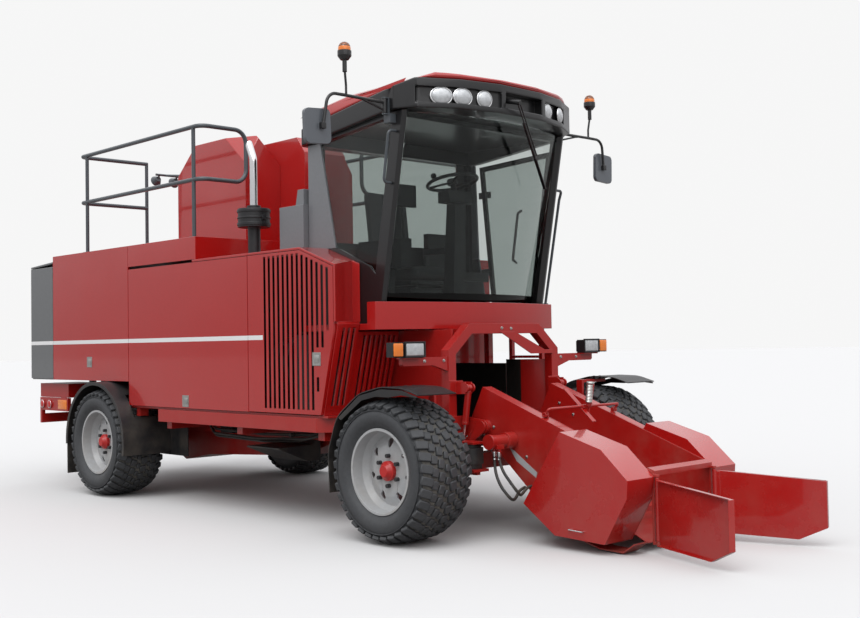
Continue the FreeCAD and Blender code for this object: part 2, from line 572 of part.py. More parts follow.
def engine_block():
    """Engine in the right-hand bay with its cooler pack behind the louvres."""
    block = box(-900, 100, -1120, -640, 1010, 1560).cut(box(-860, 60, -1080, -680, 1050, 1520))
    pieces = [block, box(-850, 50, -1060, -700, 1560, 1720), box(-800, 0, -1080, -680, 900, 1010)]
    pieces.append(Part.makeCylinder(230, 90, V(100, -880, 1280), V(1, 0, 0)))
    for x in (-780, -120):
        pieces.append(box(x, x + 80, -1130, -640, SILL_TOP_Z + 18, 900))
    pieces.append(Part.makeCylinder(250, 60, V(300, -880, 1300), V(1, 0, 0)).cut(
        Part.makeCylinder(70, 62, V(299, -880, 1300), V(1, 0, 0))))
    pieces.append(Part.makeCylinder(72, 200, V(185, -880, 1300), V(1, 0, 0)))
    cooler = box(560, 720, -1190, -600, SILL_TOP_Z + 18, 1520)
    turbo = fuse([Part.makeCylinder(80, 160, V(-280, -1050, 1720), V(0, 0, 1)),
                  cyl_z(-200, -1050, 50, 1720, 2200)])
    return [fuse(pieces + [turbo]), cooler]


def fluid_tanks():
    """Fuel and oil tanks in the left-hand bay and the pale belly cover."""
    fuel = box(-1900, -700, 700, 1140, SILL_TOP_Z + 18, 1650)
    oil = box(-560, 200, 700, 1140, SILL_TOP_Z + 18, 1500)
    caps = [cyl_z(-1300, 930, 60, 1650, 1700), cyl_z(-180, 930, 60, 1500, 1550)]
    belly = prism_x([(-1000, 560), (-700, 440), (-560, 440), (-560, 620), (-620, 620), (-640, 580),
                     (-1000, 572)], -420, 60)
    tanks = [fuse([tank, cap]) for tank, cap in zip((fuel, oil), caps)]
    wall = 8
    tanks = [tank.cut(box(x0 + wall, x1 - wall, 700 + wall, 1140 - wall, SILL_TOP_Z + 18 + wall, z1 - wall))
             for tank, (x0, x1, z1) in zip(tanks, ((-1900, -700, 1650), (-560, 200, 1500)))]
    return tanks + [belly]


EXHAUST = (-200, -1050)


def air_precleaner():
    """Black stack base and the ribbed cyclone drum round the exhaust."""
    x, y = EXHAUST
    base = cyl_z(x, y, 54, HOOD_Z, 2452).cut(cyl_z(x, y, 40, HOOD_Z - 5, 2460))
    drum = fuse([cyl_z(x, y, 138, 2462, 2622), cyl_z(x, y, 145, 2476, 2500), cyl_z(x, y, 145, 2536, 2548),
                 cyl_z(x, y, 145, 2590, 2612), cyl_z(x, y, 60, 2622, 2650), cyl_z(x, y, 60, 2452, 2462)])
    band = [box(x + 130, x + 160, y - 12, y + 12, 2520, 2565),
            box(x - 160, x - 130, y - 12, y + 12, 2520, 2565)]
    whole = fuse([base, drum] + band)
    return whole.cut(cyl_z(x, y, 34, 2440, 2700))


def exhaust_stack():
    """Chrome tail pipe that leans back at the top."""
    x, y = EXHAUST
    points = [(x, y, 2455), (x, y, 3060), (x - 75, y, 3215)]
    pipe = tube(points, 33, 120, 30)
    mouth = prism_y([(x - 200, 3110), (x - 102, 3110), (x - 30, 3250), (x - 30, 3300), (x - 200, 3300)],
                    y - 60, y + 60)
    return pipe.cut(mouth)


def underbody_hoses():
    """Hydraulic lines clipped along the right-hand rail to the valve block, and two on the left."""
    valve = box(-1150, -960, -790, -RAIL_OUT, 640, 720)
    runs = []
    for k, (y, z, start, end) in enumerate(((-820, 676, -1180, 300), (-860, 640, -1140, 250),
                                            (-800, 610, -1200, 60))):
        points = [(start - 130, y + 40, z + 60), (start, y, z), (-400, y - 20, z - 14), (end, y, z + 10),
                  (end + 220, y + 60, z + 60)]
        runs.append(tube(points, 13 - k, [110, 900, 260]))
    clips = [box(x, x + 30, -880, -RAIL_OUT, 660, 690) for x in (-640, 30)]
    return [fuse([valve] + runs + clips)]


# ---- cab ----------------------------------------------------------------------------------------------------
def arc_strip(x_mid, x_corner, half, z, thickness):
    """Closed wire of a bowed strip at one height."""
    def bow(x_m, x_c, h):
        return Part.Arc(V(x_c, -h, z), V(x_m, 0, z), V(x_c, h, z)).toShape()
    outer = bow(x_mid, x_corner, half)
    inner = bow(x_mid - thickness, x_corner - thickness, half - 1)
    ends = [Part.makeLine(V(x_corner, s * half, z), V(x_corner - thickness, s * (half - 1), z)) for s in (1,
                                                                                                          -1)]
    return Part.Wire(Part.__sortEdges__([outer, inner] + ends))


def windshield():
    """Bowed one-piece screen that leans forward at the top."""
    low = arc_strip(SCREEN_LOW_X, SCREEN_LOW_X - SCREEN_BULGE, SCREEN_HALF_LOW, BAND_TOP_Z + 6, 8)
    top = arc_strip(SCREEN_TOP_X, SCREEN_TOP_X - SCREEN_BULGE, SCREEN_HALF_TOP, HEADER_Z - 8, 8)
    return Part.makeLoft([low, top], True, True)


def bowed_plate(x_corner, x_mid, half, x_back, z0, z1):
    """A flat plate with a bowed front edge."""
    arc = Part.Arc(V(x_corner, -half, z0), V(x_mid, 0, z0), V(x_corner, half, z0)).toShape()
    lines = [Part.makeLine(V(x_corner, half, z0), V(x_back, half, z0)),
             Part.makeLine(V(x_back, half, z0), V(x_back, -half, z0)),
             Part.makeLine(V(x_back, -half, z0), V(x_corner, -half, z0))]
    return Part.Face(Part.Wire([arc] + lines)).extrude(V(0, 0, z1 - z0))


LADDER_Y = BODY_HALF + 6     # inner face of the entry ladder


def cab_platform():
    """Cab floor, the bowed front band, the left entry step and the ladder."""
    floor = bowed_plate(1345, 1495, 1000, CAB_REAR_X, 1550, CAB_FLOOR_Z)
    band = bowed_plate(1360, 1510, 1035, 1170, 1550, BAND_TOP_Z)
    band = band.cut(bowed_plate(1348, 1498, 1023, 1000, 1540, BAND_TOP_Z + 10))
    band = band.cut(box(1000, 1260, -1100, 1023, 1500, 1900))
    step = box(520, 1060, 1000, LADDER_Y + 44, 1560, CAB_FLOOR_Z)
    ladder = []
    for x in (640, 1010):
        ladder.append(box(x, x + 40, LADDER_Y, LADDER_Y + 40, 420, 1560))
    for z in range(460, 1500, 275):
        ladder.append(box(680, 1010, LADDER_Y, LADDER_Y + 44, z, z + 24))
    legs = [box(CAB_REAR_X + 40, CAB_REAR_X + 100, s * 600, s * 660, SILL_TOP_Z + 18, 1550) for s in (1, -1)]
    legs.append(box(560, 620, 1000, 1060, SILL_TOP_Z + 18, 1560))
    return [fuse([floor, band, step] + ladder + legs)]


A_REAR_X, A_DEPTH, A_LEAN = 1195, 125, 0.188    # A-pillar at the cab floor, and its lean per unit of height


def a_pillar_rear(z):
    """X of the A-pillar's rear edge at a height."""
    return A_REAR_X + A_LEAN * (z - CAB_FLOOR_Z)


GLASS_SIDE = [(614, 3062), (a_pillar_rear(3172) - 2, 3172), (a_pillar_rear(1990) - 2, 1990), (1210, 2052),
              (850, 2208), (798, 2226)]


def cab_frame():
    """Pillars, headers, rear wall frame and the sill panels beside the seat."""
    half = []
    x0, x1, z = A_REAR_X, A_REAR_X + A_DEPTH, CAB_FLOOR_Z
    foot = Part.makePolygon([V(x0, 905, z), V(x1 - 35, 880, z), V(x1, CAB_HALF - 35, z),
                             V(x1 - 15, CAB_HALF, z),
                             V(x0, CAB_HALF, z), V(x0, 905, z)])
    rise = HEADER_Z - CAB_FLOOR_Z
    half.append(Part.Face(foot).extrude(V(A_LEAN * rise, 0, rise)))
    half.append(prism_y([(CAB_REAR_X, HEADER_Z), (CAB_REAR_X, 3095), (604, 3095), (a_pillar_rear(3180), 3180),
                         (a_pillar_rear(HEADER_Z) + A_DEPTH, HEADER_Z)], 890, CAB_HALF))
    half.append(box(CAB_REAR_X, CAB_REAR_X + 60, 880, 928, CAB_FLOOR_Z, 3095))
    pieces = []
    for piece in half:
        pieces += both(piece)
    pieces.append(box(CAB_REAR_X, CAB_REAR_X + 60, -890, 890, 3095, HEADER_Z))
    pieces.append(box(CAB_REAR_X, CAB_REAR_X + 20, -880, 880, CAB_FLOOR_Z, 2300))
    for y0, y1 in ((-880, -780), (780, 880)):
        pieces.append(box(CAB_REAR_X, CAB_REAR_X + 20, y0, y1, 2300, 3095))
    sill = prism_y([(CAB_REAR_X, CAB_FLOOR_Z), (A_REAR_X, CAB_FLOOR_Z), (a_pillar_rear(1985), 1985),
                    (1206, 2047),
                    (848, 2202), (796, 2216), (CAB_REAR_X, 2216)], -930, -CAB_HALF)
    pieces.append(sill)
    pieces.append(prism_y([(CAB_REAR_X, CAB_FLOOR_Z), (690, CAB_FLOOR_Z), (575, 2216), (CAB_REAR_X, 2216)],
                          930, CAB_HALF))
    pieces.append(box(1500, 1560, -890, 890, HEADER_Z - 40, HEADER_Z))
    pieces.append(box(CAB_REAR_X, CAB_REAR_X + 60, 880, 890, 3095, HEADER_Z))
    return [fuse(pieces)]


def cab_rear_panels():
    """Grey corner panels beside the door glass and the two grey boxes behind the cab."""
    right = prism_y([(CAB_REAR_X, 2218), (784, 2218), (598, 3092), (CAB_REAR_X, 3092)], -930, -CAB_HALF)
    left = prism_y([(CAB_REAR_X, 2218), (572, 2218), (545, 3092), (CAB_REAR_X, 3092)], 930, CAB_HALF)
    cabinet = box(100, 430, -1000, -700, HOOD_Z, 2606)
    small = prism_y([(300, 2606), (410, 2606), (410, 2737), (330, 2737)], -980, -720)
    return [right, left, fuse([cabinet, small])]


def cab_side_glass():
    """Fixed right-hand pane and the rear window."""
    pane = prism_y(GLASS_SIDE, -936, -942)
    rear = box(CAB_REAR_X + 6, CAB_REAR_X + 12, -779, 779, 2301, 3094)
    return [pane, rear]


DOOR_LEFT = [(585, 3070), (1452, 3108), (1222, 1780), (712, 1780)]


def cab_door_left():
    """Glazed entry door: a black frame round one pane, with hinge blocks and a grab bar."""
    def inset(scale):
        cx = sum(p[0] for p in DOOR_LEFT) / 4
        cz = sum(p[1] for p in DOOR_LEFT) / 4
        return [(cx + (x - cx) * scale, cz + (z - cz) * scale) for x, z in DOOR_LEFT]
    ring = prism_y(DOOR_LEFT, 953, 981).cut(prism_y(inset(0.92), 940, 990))
    pane = prism_y(inset(0.92), 960, 968)
    hinges = [box(548, 690, 981, 999, z, z + 60) for z in (2060, 2780)]
    barrels = [cyl_z(556, 990, 14, z, z + 60) for z in (2060, 2780)]
    bar = tube([(1100, 953, 2620), (1100, 900, 2620), (1030, 900, 2150), (1030, 953, 2150)], 12, 40)
    return [fuse([ring, pane] + hinges + barrels + [bar])]


def roof_plan(inset):
    """Plan points of the roof: straight sides, then facets round the front."""
    i = inset
    half = [(330 + i, 930 - i), (420, ROOF_HALF - i), (1560, ROOF_HALF - i), (1720 - i * 0.6, 900 - i),
            (1880 - i, 590 - i * 0.6), (ROOF_FRONT_X - i, 230)]
    return half + [(x, -y) for x, y in reversed(half)]


LAMP_RECESS = 28            # depth of the recesses that hold the roof lamps


def roof_fascia():
    """Black lower roof moulding with the lamp recesses across the front."""
    body = prism_z(roof_plan(0), 3000, 3600)
    side_low, side_high = 3098, 3235
    rise = (HEADER_Z + 5 - side_low) / (1500 - CAB_REAR_X)
    low = [(200, side_low), (CAB_REAR_X, side_low), (1500, HEADER_Z + 5), (2100, HEADER_Z + 5)]
    high = [(2100, 3450), (1700, 3450), (1560, 3400), (CAB_REAR_X, side_high), (200, side_high - 40 * rise)]
    body = body.common(prism_y(low + high, -1100, 1100))
    inner = prism_z([(CAB_REAR_X - 10, -955), (1640, -955), (1640, 955), (CAB_REAR_X - 10, 955)], 3000,
                    HEADER_Z + 5)
    body = body.cut(inner)
    ring = prism_z(roof_plan(-20), 3262, 3384).cut(prism_z(roof_plan(LAMP_RECESS), 3250, 3400))
    pockets = [ring.common(box(1500, 2100, y0, y1, 3200, 3450)) for y0, y1 in ((-905, -215), (330, 690))]
    deep = prism_z(roof_plan(-20), 3270, 3392).cut(prism_z(roof_plan(3 * LAMP_RECESS), 3250, 3400))
    pockets.append(deep.common(box(1500, 2100, -165, 275, 3200, 3450)))
    hatch = box(900, 1500, -600, 600, 3225, 3290)
    return [body.cut(pockets).cut(hatch)]


def cab_roof():
    """Red roof skin with a chamfered shoulder."""
    base = [(300, 3236), (CAB_REAR_X, 3236), (1560, 3401), (1700, 3451), (2100, 3451)]
    crown = [(2100, 3475), (1800, 3500), (1500, 3500), (CAB_REAR_X, 3350), (300, 3320)]
    body = prism_z(roof_plan(12), 3100, 3700).common(prism_y(base + crown, -1100, 1100))
    for sign in (1, -1):
        wedge = prism_x([(sign * 1100, 3200), (sign * 1100, 3700), (sign * 560, 3700), (sign * 700, 3520),
                         (sign * 960, 3420), (sign * 990, 3330)], 0, 2200)
        body = body.cut(wedge)
    return body


SEAT_Y = -180


def seat_pedestal():
    """Suspension base, slide rails, side console with the monitor post."""
    y = SEAT_Y
    base = box(680, 1060, y - 200, y + 200, CAB_FLOOR_Z, 1660)
    bellows = [box(700 + 12 * (i % 2), 1040 - 12 * (i % 2), y - 185, y + 185, 1660 + 30 * i, 1690 + 30 * i)
               for i in range(8)]
    rails = [box(670, 1070, y + s * 150 - 12, y + s * 150 + 12, 1900, 1918) for s in (1, -1)]
    console = [box(660, 1180, y - 420, y - 300, 2050, 2290), box(700, 1000, y - 400, y - 320, CAB_FLOOR_Z,
                                                                 2050)]
    post = [rod((1150, y - 360, 2290), (1180, y - 400, 2560), 12),
            box(1170, 1200, y - 500, y - 260, 2540, 2720)]
    return [fuse([base] + bellows + rails), fuse(console + post)]


def seat_cushion():
    y = SEAT_Y
    pan = box(680, 1080, y - 220, y + 220, 1922, 1960)
    cushion = box(640, 1120, y - 230, y + 230, 1960, 2090)
    arm = [box(700, 1000, y + 250, y + 310, 2200, 2260), box(720, 760, y + 250, y + 300, 1960, 2200),
           box(700, 760, y + 220, y + 300, 1930, 1960)]
    return [fuse([pan] + arm), cushion]


def seat_back():
    y = SEAT_Y
    back = beam((600, y, 2096), (520, y, 2760), 230, 55, (0, 1, 0))
    return [back.common(box(470, 700, -900, 900, 2092, 2900))]


def buddy_seat():
    cushion = box(560, 900, 300, 720, 1980, 2060)
    base = box(580, 860, 330, 690, CAB_FLOOR_Z, 1980)
    back = box(500, 560, 300, 720, 1990, 2420)
    return [fuse([base, cushion, back])]


PEDAL_Y = (-380, -60)


def steering_column():
    """Upright column box with the dash pod."""
    y0 = SEAT_Y
    box_low = prism_y([(1270, CAB_FLOOR_Z), (1400, CAB_FLOOR_Z), (1450, 2580), (1350, 2580)], y0 - 60,
                      y0 + 60)
    pod = prism_y([(1330, 2570), (1470, 2570), (1450, 2670), (1330, 2660)], y0 - 140, y0 + 140)
    stub = rod((1385, y0, 2630), (1363, y0, 2730), 22)
    pedals = [prism_y([(1330, 1640), (1345, 1650), (1390, 1790), (1375, 1795)], y, y + 70) for y in PEDAL_Y]
    arms = [box(1300, 1345, y + 25, y + 45, CAB_FLOOR_Z, 1650) for y in PEDAL_Y]
    return [fuse([box_low, pod, stub])] + [fuse([p, a]) for p, a in zip(pedals, arms)]


WHEEL_HUB, WHEEL_TILT = V(1358, SEAT_Y, 2752), V(-22, 0, 100)


def steering_wheel():
    """Rim, three spokes and the hub of the steering wheel."""
    rim = Part.makeTorus(205, 14, V(0, 0, 0), V(0, 0, 1))
    hub = Part.makeCylinder(42, 44, V(0, 0, -22), V(0, 0, 1))
    spokes = []
    for k in range(3):
        a = math.radians(90 + 120 * k)
        spokes.append(rod((30 * math.cos(a), 30 * math.sin(a), 0),
                          (200 * math.cos(a), 200 * math.sin(a), 0), 9))
    knob = Part.makeSphere(24, V(0, -205, 34))
    stem = rod((0, -205, 8), (0, -205, 20), 8)
    wheel = fuse([rim, hub, knob, stem] + spokes)
    wheel.Placement = FreeCAD.Placement(WHEEL_HUB, FreeCAD.Rotation(V(0, 0, 1), WHEEL_TILT))
    return wheel


MIRROR_PIN = (1500, 1036)   # x, y of the folding pin on the left
BEACON_Y = 1437


def mirror(side):
    """Folding arm with its mirror head and the beacon on a bent stalk."""
    x, y = MIRROR_PIN
    sleeve = cyl_z(x, y, 20, 3190, 3300)
    arm = tube([(x, y, 3272), (x + 12, 1400, 3272), (x + 22, 1600, 3268), (x + 10, 1640, 3010)], 12,
               [900, 90])
    lower = rod((x, y, 3212), (x + 8, 1260, 3266), 8)
    clamp = box(x - 8, x + 26, 1620, 1662, 3000, 3045)
    head = prism_x([(1545, 2900), (1782, 2885), (1790, 3140), (1555, 3158)], x - 42, x - 8)
    head = head.makeFillet(42, [e for e in head.Edges if abs(e.tangentAt(e.FirstParameter).x) > 0.9])
    stalk = tube([(x + 12, 1420, 3272), (x + 12, 1420, 3345), (x + 20, BEACON_Y, 3460)], 9, 80)
    neck = cyl_z(x + 20, BEACON_Y, 17, 3440, 3535)
    bowl = Part.makeCone(30, 52, 30, V(x + 20, BEACON_Y, 3528))
    base = fuse([neck, bowl, cyl_z(x + 20, BEACON_Y, 52, 3558, 3598)])
    lens = fuse([cyl_z(x + 20, BEACON_Y, 46, 3598, 3618), Part.makeSphere(46, V(x + 20, BEACON_Y, 3618))])
    whole = fuse([sleeve, arm, lower, clamp, head, stalk, base, lens])
    whole = whole.cut(cyl_z(x, y, 10 + FIT, 3100, 3400))
    return whole if side > 0 else mirrored(whole)


def cab_rails():
    """Pillar brackets with the fold pins, the near grab loop and the far hand rails."""
    x, y = MIRROR_PIN
    plate = box(x - 35, x + 35, CAB_HALF, y - 24, 3120, 3188)
    back = box(x - 22, x + 22, y - 34, y - 24, 3120, 3310)
    ears = [fuse([box(x - 20, x + 20, y - 26, y, z, z + 8), cyl_z(x, y, 20, z, z + 8)]) for z in (3180, 3302)]
    half = fuse([plate, back, cyl_z(x, y, 10, 3180, 3310)] + ears)
    loop = tube([(1530, -CAB_HALF, 3060), (1530, -1025, 3060), (1466, -1025, 2670),
                 (1466, -CAB_HALF, 2670)], 11, 34)
    rail = tube([(1478, CAB_HALF, 2765), (1478, 1066, 2765), (1446, 1070, 2690), (1262, 1070, 1775)], 12,
                [30, 40])
    foot = box(1240, 1282, 1055, 1085, BAND_TOP_Z, 1778)
    return both(half) + [loop, fuse([rail, foot])]


WIPER_PIVOT = V(2030, -100, 3310)
WIPER_AXIS = V(0.955, 0.20, -0.22)
WIPER_ARM, WIPER_BLADE = 560, 700


def wiper():
    """Twin-bar arm with a blade, parked beside the left pillar."""
    normal = V(WIPER_AXIS).normalize()
    down = (V(-0.10, 0.62, -0.60) - normal * V(-0.10, 0.62, -0.60).dot(normal)).normalize()
    across = normal.cross(down)
    start = V(WIPER_PIVOT)
    bars = [rod(start + across * s, start + across * s + down * WIPER_ARM, 6) for s in (-14, 14)]
    head = rod(start - normal * 150, start + normal * 14, 20)
    mid = start + down * WIPER_ARM
    carrier = rod(mid - across * 24, mid + across * 24, 9)
    half = down * (WIPER_BLADE / 2)
    blade = beam(mid - half - normal * 14, mid + half - normal * 14, 6, 14, across)
    return fuse(bars + [head, carrier, blade])


# ---- wheels -------------------------------------------------------------------------------------------------
def revolve_y(profile):
    """A closed (y, radius) outline turned round the hub line."""
    corners = [V(0, y, r) for y, r in profile]
    face = Part.Face(Part.makePolygon(corners + corners[:1]))
    return face.revolve(V(0, 0, 0), V(0, 1, 0), 360)


def tyre():
    """Wide flotation tyre: beads, sidewalls with a rim guard, shoulders and tread band."""
    y0, y1, r = TYRE_IN, TYRE_OUT, WHEEL_R
    profile = [(y0 + 46, RIM_R), (y0 + 46, 317), (y0 + 30, 336), (y0 + 6, 380), (y0, 430), (y0 + 14, 490),
               (y0 + 46, r - 8),
               (y0 + 120, r), (y1 - 120, r), (y1 - 46, r - 8), (y1 - 14, 490), (y1, 430), (y1 - 6, 380),
               (y1 - 30, 336), (y1 - 46, 317), (y1 - 46, RIM_R), (y1 - 80, RIM_R), (y1 - 60, 350),
               (y1 - 40, 420), (y1 - 70, 480),
               (y1 - 130, 492), (y0 + 130, 492), (y0 + 70, 480), (y0 + 40, 420), (y0 + 60, 350),
               (y0 + 80, RIM_R)]
    return revolve_y(profile)


def rim():
    """Well-base rim with a dished centre, hand holes, wheel nuts and the hub drum with its cap."""
    y0, y1 = TYRE_IN + 46, TYRE_OUT - 46
    barrel = [(y0 - 12, RIM_FLANGE_R), (y0, RIM_FLANGE_R), (y0, RIM_R), (y0 + 60, RIM_R - 2), (y0 + 90, 270),
              (y1 - 120, 270), (y1 - 80, RIM_R - 2), (y1, RIM_R), (y1, RIM_FLANGE_R), (y1 + 12, RIM_FLANGE_R),
              (y1 + 12, RIM_R - 8), (y1 - 76, RIM_R - 12), (y1 - 122, 258), (y0 + 88, 258),
              (y0 + 56, RIM_R - 12),
              (y0 - 12, RIM_R - 8)]
    disc_y = 1262
    disc = [(disc_y, 60), (disc_y, 175), (disc_y - 28, 240), (disc_y - 34, 262), (disc_y - 46, 262),
            (disc_y - 40, 236),
            (disc_y - 14, 170), (disc_y - 14, 60)]
    whole = fuse([revolve_y(barrel), revolve_y(disc)])
    holes = []
    hole_count, nut_count = 7, 6
    for k in range(hole_count):
        a = 2 * math.pi * (k + 0.75) / hole_count
        for r, spread in ((26, 208), (17, 184)):
            holes.append(Part.makeCylinder(r, 120, V(spread * math.cos(a), disc_y - 80,
                                                     spread * math.sin(a)), V(0, 1, 0)))
    whole = whole.cut(holes)
    pieces = [whole]
    for k in range(nut_count):
        a = 2 * math.pi * (k + 0.5) / nut_count
        centre = V(108 * math.cos(a), disc_y, 108 * math.sin(a))
        pieces.append(Part.makeCylinder(15, 34, centre, V(0, 1, 0)))
    drum = Part.makeCylinder(96, disc_y - 1130, V(0, 1130, 0), V(0, 1, 0))
    cap = fuse([Part.makeCylinder(72, 30, V(0, disc_y, 0), V(0, 1, 0)),
                Part.makeCone(66, 40, 34, V(0, disc_y + 30, 0), V(0, 1, 0))])
    hub = fuse([drum, cap])
    bore = Part.makeCylinder(SPINDLE_R + FIT, 170, V(0, 1120, 0), V(0, 1, 0))
    return fuse(pieces + [hub]).cut(bore)


FENDER_IN, FENDER_OUT, FENDER_ARM_Z = 1010, 1385, 1108


def knuckle(side):
    """Kingpin block with its spindle, and the arm that carries the fender."""
    x, z = FRONT_AXLE_X, WHEEL_R
    block = box(x - 45, x + 45, KINGPIN_Y - 45, KINGPIN_Y + 45, z - 57, z + 57)
    pin = cyl_z(x, KINGPIN_Y, KINGPIN_R, z - 82, z + 84)
    spindle = cyl_y(x, z, SPINDLE_R, KINGPIN_Y + 45, 1286)
    flange = cyl_y(x, z, 95, KINGPIN_Y + 75, 1120)
    head = cyl_z(x, KINGPIN_Y, 46, z + 82, z + 110)
    top = FENDER_ARM_Z
    arm = [box(x + 20, x + 80, KINGPIN_Y + 8, KINGPIN_Y + 32, z + 90, top - 24),
           box(x + 20, x + 80, KINGPIN_Y + 8, 1180, top - 24, top)]
    whole = fuse([block, pin, spindle, flange, head] + arm)
    return whole if side > 0 else mirrored(whole)


def fender(side):
    """Moulded fender over the front tyre with its rubber flap."""
    crown = [(1212, 335), (1198, 630), (1300, 900), (1560, 1076), (1800, 1128), (2030, 1122), (2190, 1076)]
    skin = sheet_y(crown, [260, 260, 300, 400, 400], 8, FENDER_IN, FENDER_OUT)
    lip = prism_y([(1322, 900), (1560, 1066), (1800, 1117), (2020, 1112), (2184, 1070), (2180, 1062),
                   (2020, 1078),
                   (1880, 1060), (1740, 1062), (1590, 1032), (1352, 880)], FENDER_OUT - 8, FENDER_OUT)
    bolts = [cyl_z(FRONT_AXLE_X + 50, y, 10, FENDER_ARM_Z, 1136) for y in (1060, 1140)]
    clear = box(1700, 1900, KINGPIN_Y, 1180, 1040, FENDER_ARM_Z)
    whole = fuse([skin, lip] + bolts).cut(clear)
    return whole if side > 0 else mirrored(whole)


# ---- pickup -------------------------------------------------------------------------------------------------
ARM_SIDE = [(1915, 1100), (3385, 552), (3400, 400), (3207, 76), (2700, 90), (2371, 356), (1790, 859)]
CASE_SIDE = [(1915, 1100), (2797, 770), (2482, 294), (2442, 294), (1790, 859)]
COVER_SIDE = [(2836, 812), (3189, 710), (3405, 517), (3394, 395), (3206, 78), (2774, 94), (2491, 290)]


def shrunk(points, by):
    """An outline pulled towards its middle by about a distance."""
    cx = sum(p[0] for p in points) / len(points)
    cz = sum(p[1] for p in points) / len(points)
    out = []
    for x, z in points:
        d = math.hypot(x - cx, z - cz)
        out.append((x + (cx - x) * by / d, z + (cz - z) * by / d))
    return out


def pickup_frame():
    """Chute floor, side skins, hollow chain cases, cross bar, skids, levers and wing posts."""
    slope = [(1935, 727), (3330, 70), (3330, 62), (1935, 719)]
    floor = prism_y(slope, -ARM_IN, ARM_IN)
    pieces = [floor]
    half = [prism_y(ARM_SIDE, ARM_IN, ARM_SKIN)]
    case = prism_y(CASE_SIDE, ARM_SKIN, ARM_OUT)
    case = case.cut(prism_y(shrunk(CASE_SIDE, 22), ARM_SKIN, ARM_OUT - 8))
    half.append(case)
    px, pz = PICKUP_PIVOT
    half.append(cyl_y(px, pz, 50, ARM_OUT, ARM_OUT + 28))
    half.append(cyl_y(px, pz, 25, ARM_OUT, 520))
    lx, lz = CYL_LOW
    lever = fuse([cyl_y(px, pz, 48, 504, 520), cyl_y(lx, lz, 30, 504, 520),
                  prism_y([(px - 28, pz + 38), (lx - 20, lz + 22), (lx + 18, lz - 24), (px + 20, pz - 43)],
                          504, 520)])
    half.append(lever)
    half.append(cyl_y(lx, lz, 12, 504, 564))
    skid = [(2785, 84), (3060, 14), (3255, 8), (3345, 72), (3345, 82), (3250, 17), (3062, 23), (2785, 92)]
    half.append(prism_y(skid, ARM_SKIN, 520))
    half.append(box(3382, 3398, ARM_IN - 12, ARM_SKIN, 80, 540))
    hx, hy = WING_HINGE
    for z0, z1 in ((62, 82), (514, 532)):
        half.append(box(3382, hx, hy - 14, hy + 12, z0, z1))
        half.append(cyl_z(hx, hy, 16, z0, z1))
    half.append(cyl_z(hx, hy, 9, 62, 532))
    half.append(fuse([box(2484, 2516, 385, 397, 876, 905), cyl_y(2500, 905, 16, 385, 397)]))
    half.append(cyl_y(2500, 905, 6, 385, 414))
    for piece in half:
        pieces += both(piece)
    pieces.append(prism_y([(3335, 545), (3402, 520), (3402, 556), (3345, 575)], -ARM_IN, ARM_IN))
    pieces.append(prism_y([(3100, 240), (3130, 225), (3130, 262), (3110, 270)], -ARM_IN, ARM_IN))
    mx, mz = MOTOR_AXIS
    bore = cyl_y(mx, mz, 22 + FIT, -ARM_OUT - 5, -ARM_SKIN + 3)
    chain_window = box(2300, 2900, -ARM_SKIN - 2, -ARM_IN + 2, 640, 665)
    return [fuse(pieces).cut([bore, chain_window])]


def pickup_covers():
    """Closed side boxes over the front of the chain drives."""
    outer = prism_y(COVER_SIDE, ARM_SKIN, COVER_OUT)
    shell = outer.cut(prism_y(shrunk(COVER_SIDE, 10), ARM_SKIN + 6, COVER_OUT - 6))
    return both(shell)


def feed_sprocket():
    """Toothed wheel of the feed chain inside the right-hand case."""
    mx, mz = MOTOR_AXIS
    disc = cyl_y(mx, mz, 62, -414, -402)
    teeth = []
    for k in range(12):
        a = 2 * math.pi * k / 12
        teeth.append(cyl_y(mx + 62 * math.cos(a), mz + 62 * math.sin(a), 9, -414, -402))
    shaft = cyl_y(mx, mz, 22, -440, -385)
    return fuse([disc, shaft] + teeth)


def pickup_motor():
    """Hydraulic motor on its gear head, with two ports under it."""
    mx, mz = MOTOR_AXIS
    gear = cyl_y(mx, mz, 62, -ARM_OUT, -540)
    body = cyl_y(mx, mz, 48, -540, -690)
    end = cyl_y(mx, mz, 56, -690, -712)
    ports = [cyl_z(mx + dx, -640, 17, mz - 72, mz - 20) for dx in (-6, 40)]
    saddle = box(mx - 30, mx + 62, -676, -604, mz - 52, mz - 20)
    return fuse([gear, body, end, saddle] + ports)


HOSE_R = 11
MOTOR_HOSES = {
    "motor_hose_front": [(2250, -640, 640), (2250, -640, 582), (2292, -648, 502), (2366, -652, 430),
                         (2414, -634, 366),
                         (2408, -590, 330), (2394, -540, 352), (2392, -492, 384), (2392, -450, 384)],
    "motor_hose_rear": [(2204, -640, 640), (2204, -640, 576), (2230, -660, 488), (2294, -680, 402),
                        (2352, -672, 340),
                        (2362, -628, 296), (2344, -570, 304), (2330, -512, 362), (2330, -450, 372)],
}


def hose(points):
    """A limp hydraulic hose with arcs as large as its runs allow."""
    pts = [V(*p) for p in points]
    radii = []
    for a, b, c in zip(pts, pts[1:], pts[2:]):
        turn = (b - a).getAngle(c - b)
        radii.append(0.45 * min((b - a).Length, (c - b).Length) / math.tan(turn / 2))
    solid = tube(points, HOSE_R, radii)
    length = bent_path(points, radii).Length
    section = math.pi * HOSE_R ** 2
    print("hose radii", [round(r) for r in radii], "length", round(length), "volume ratio",
          round(solid.Volume / section / length, 3))
    return solid


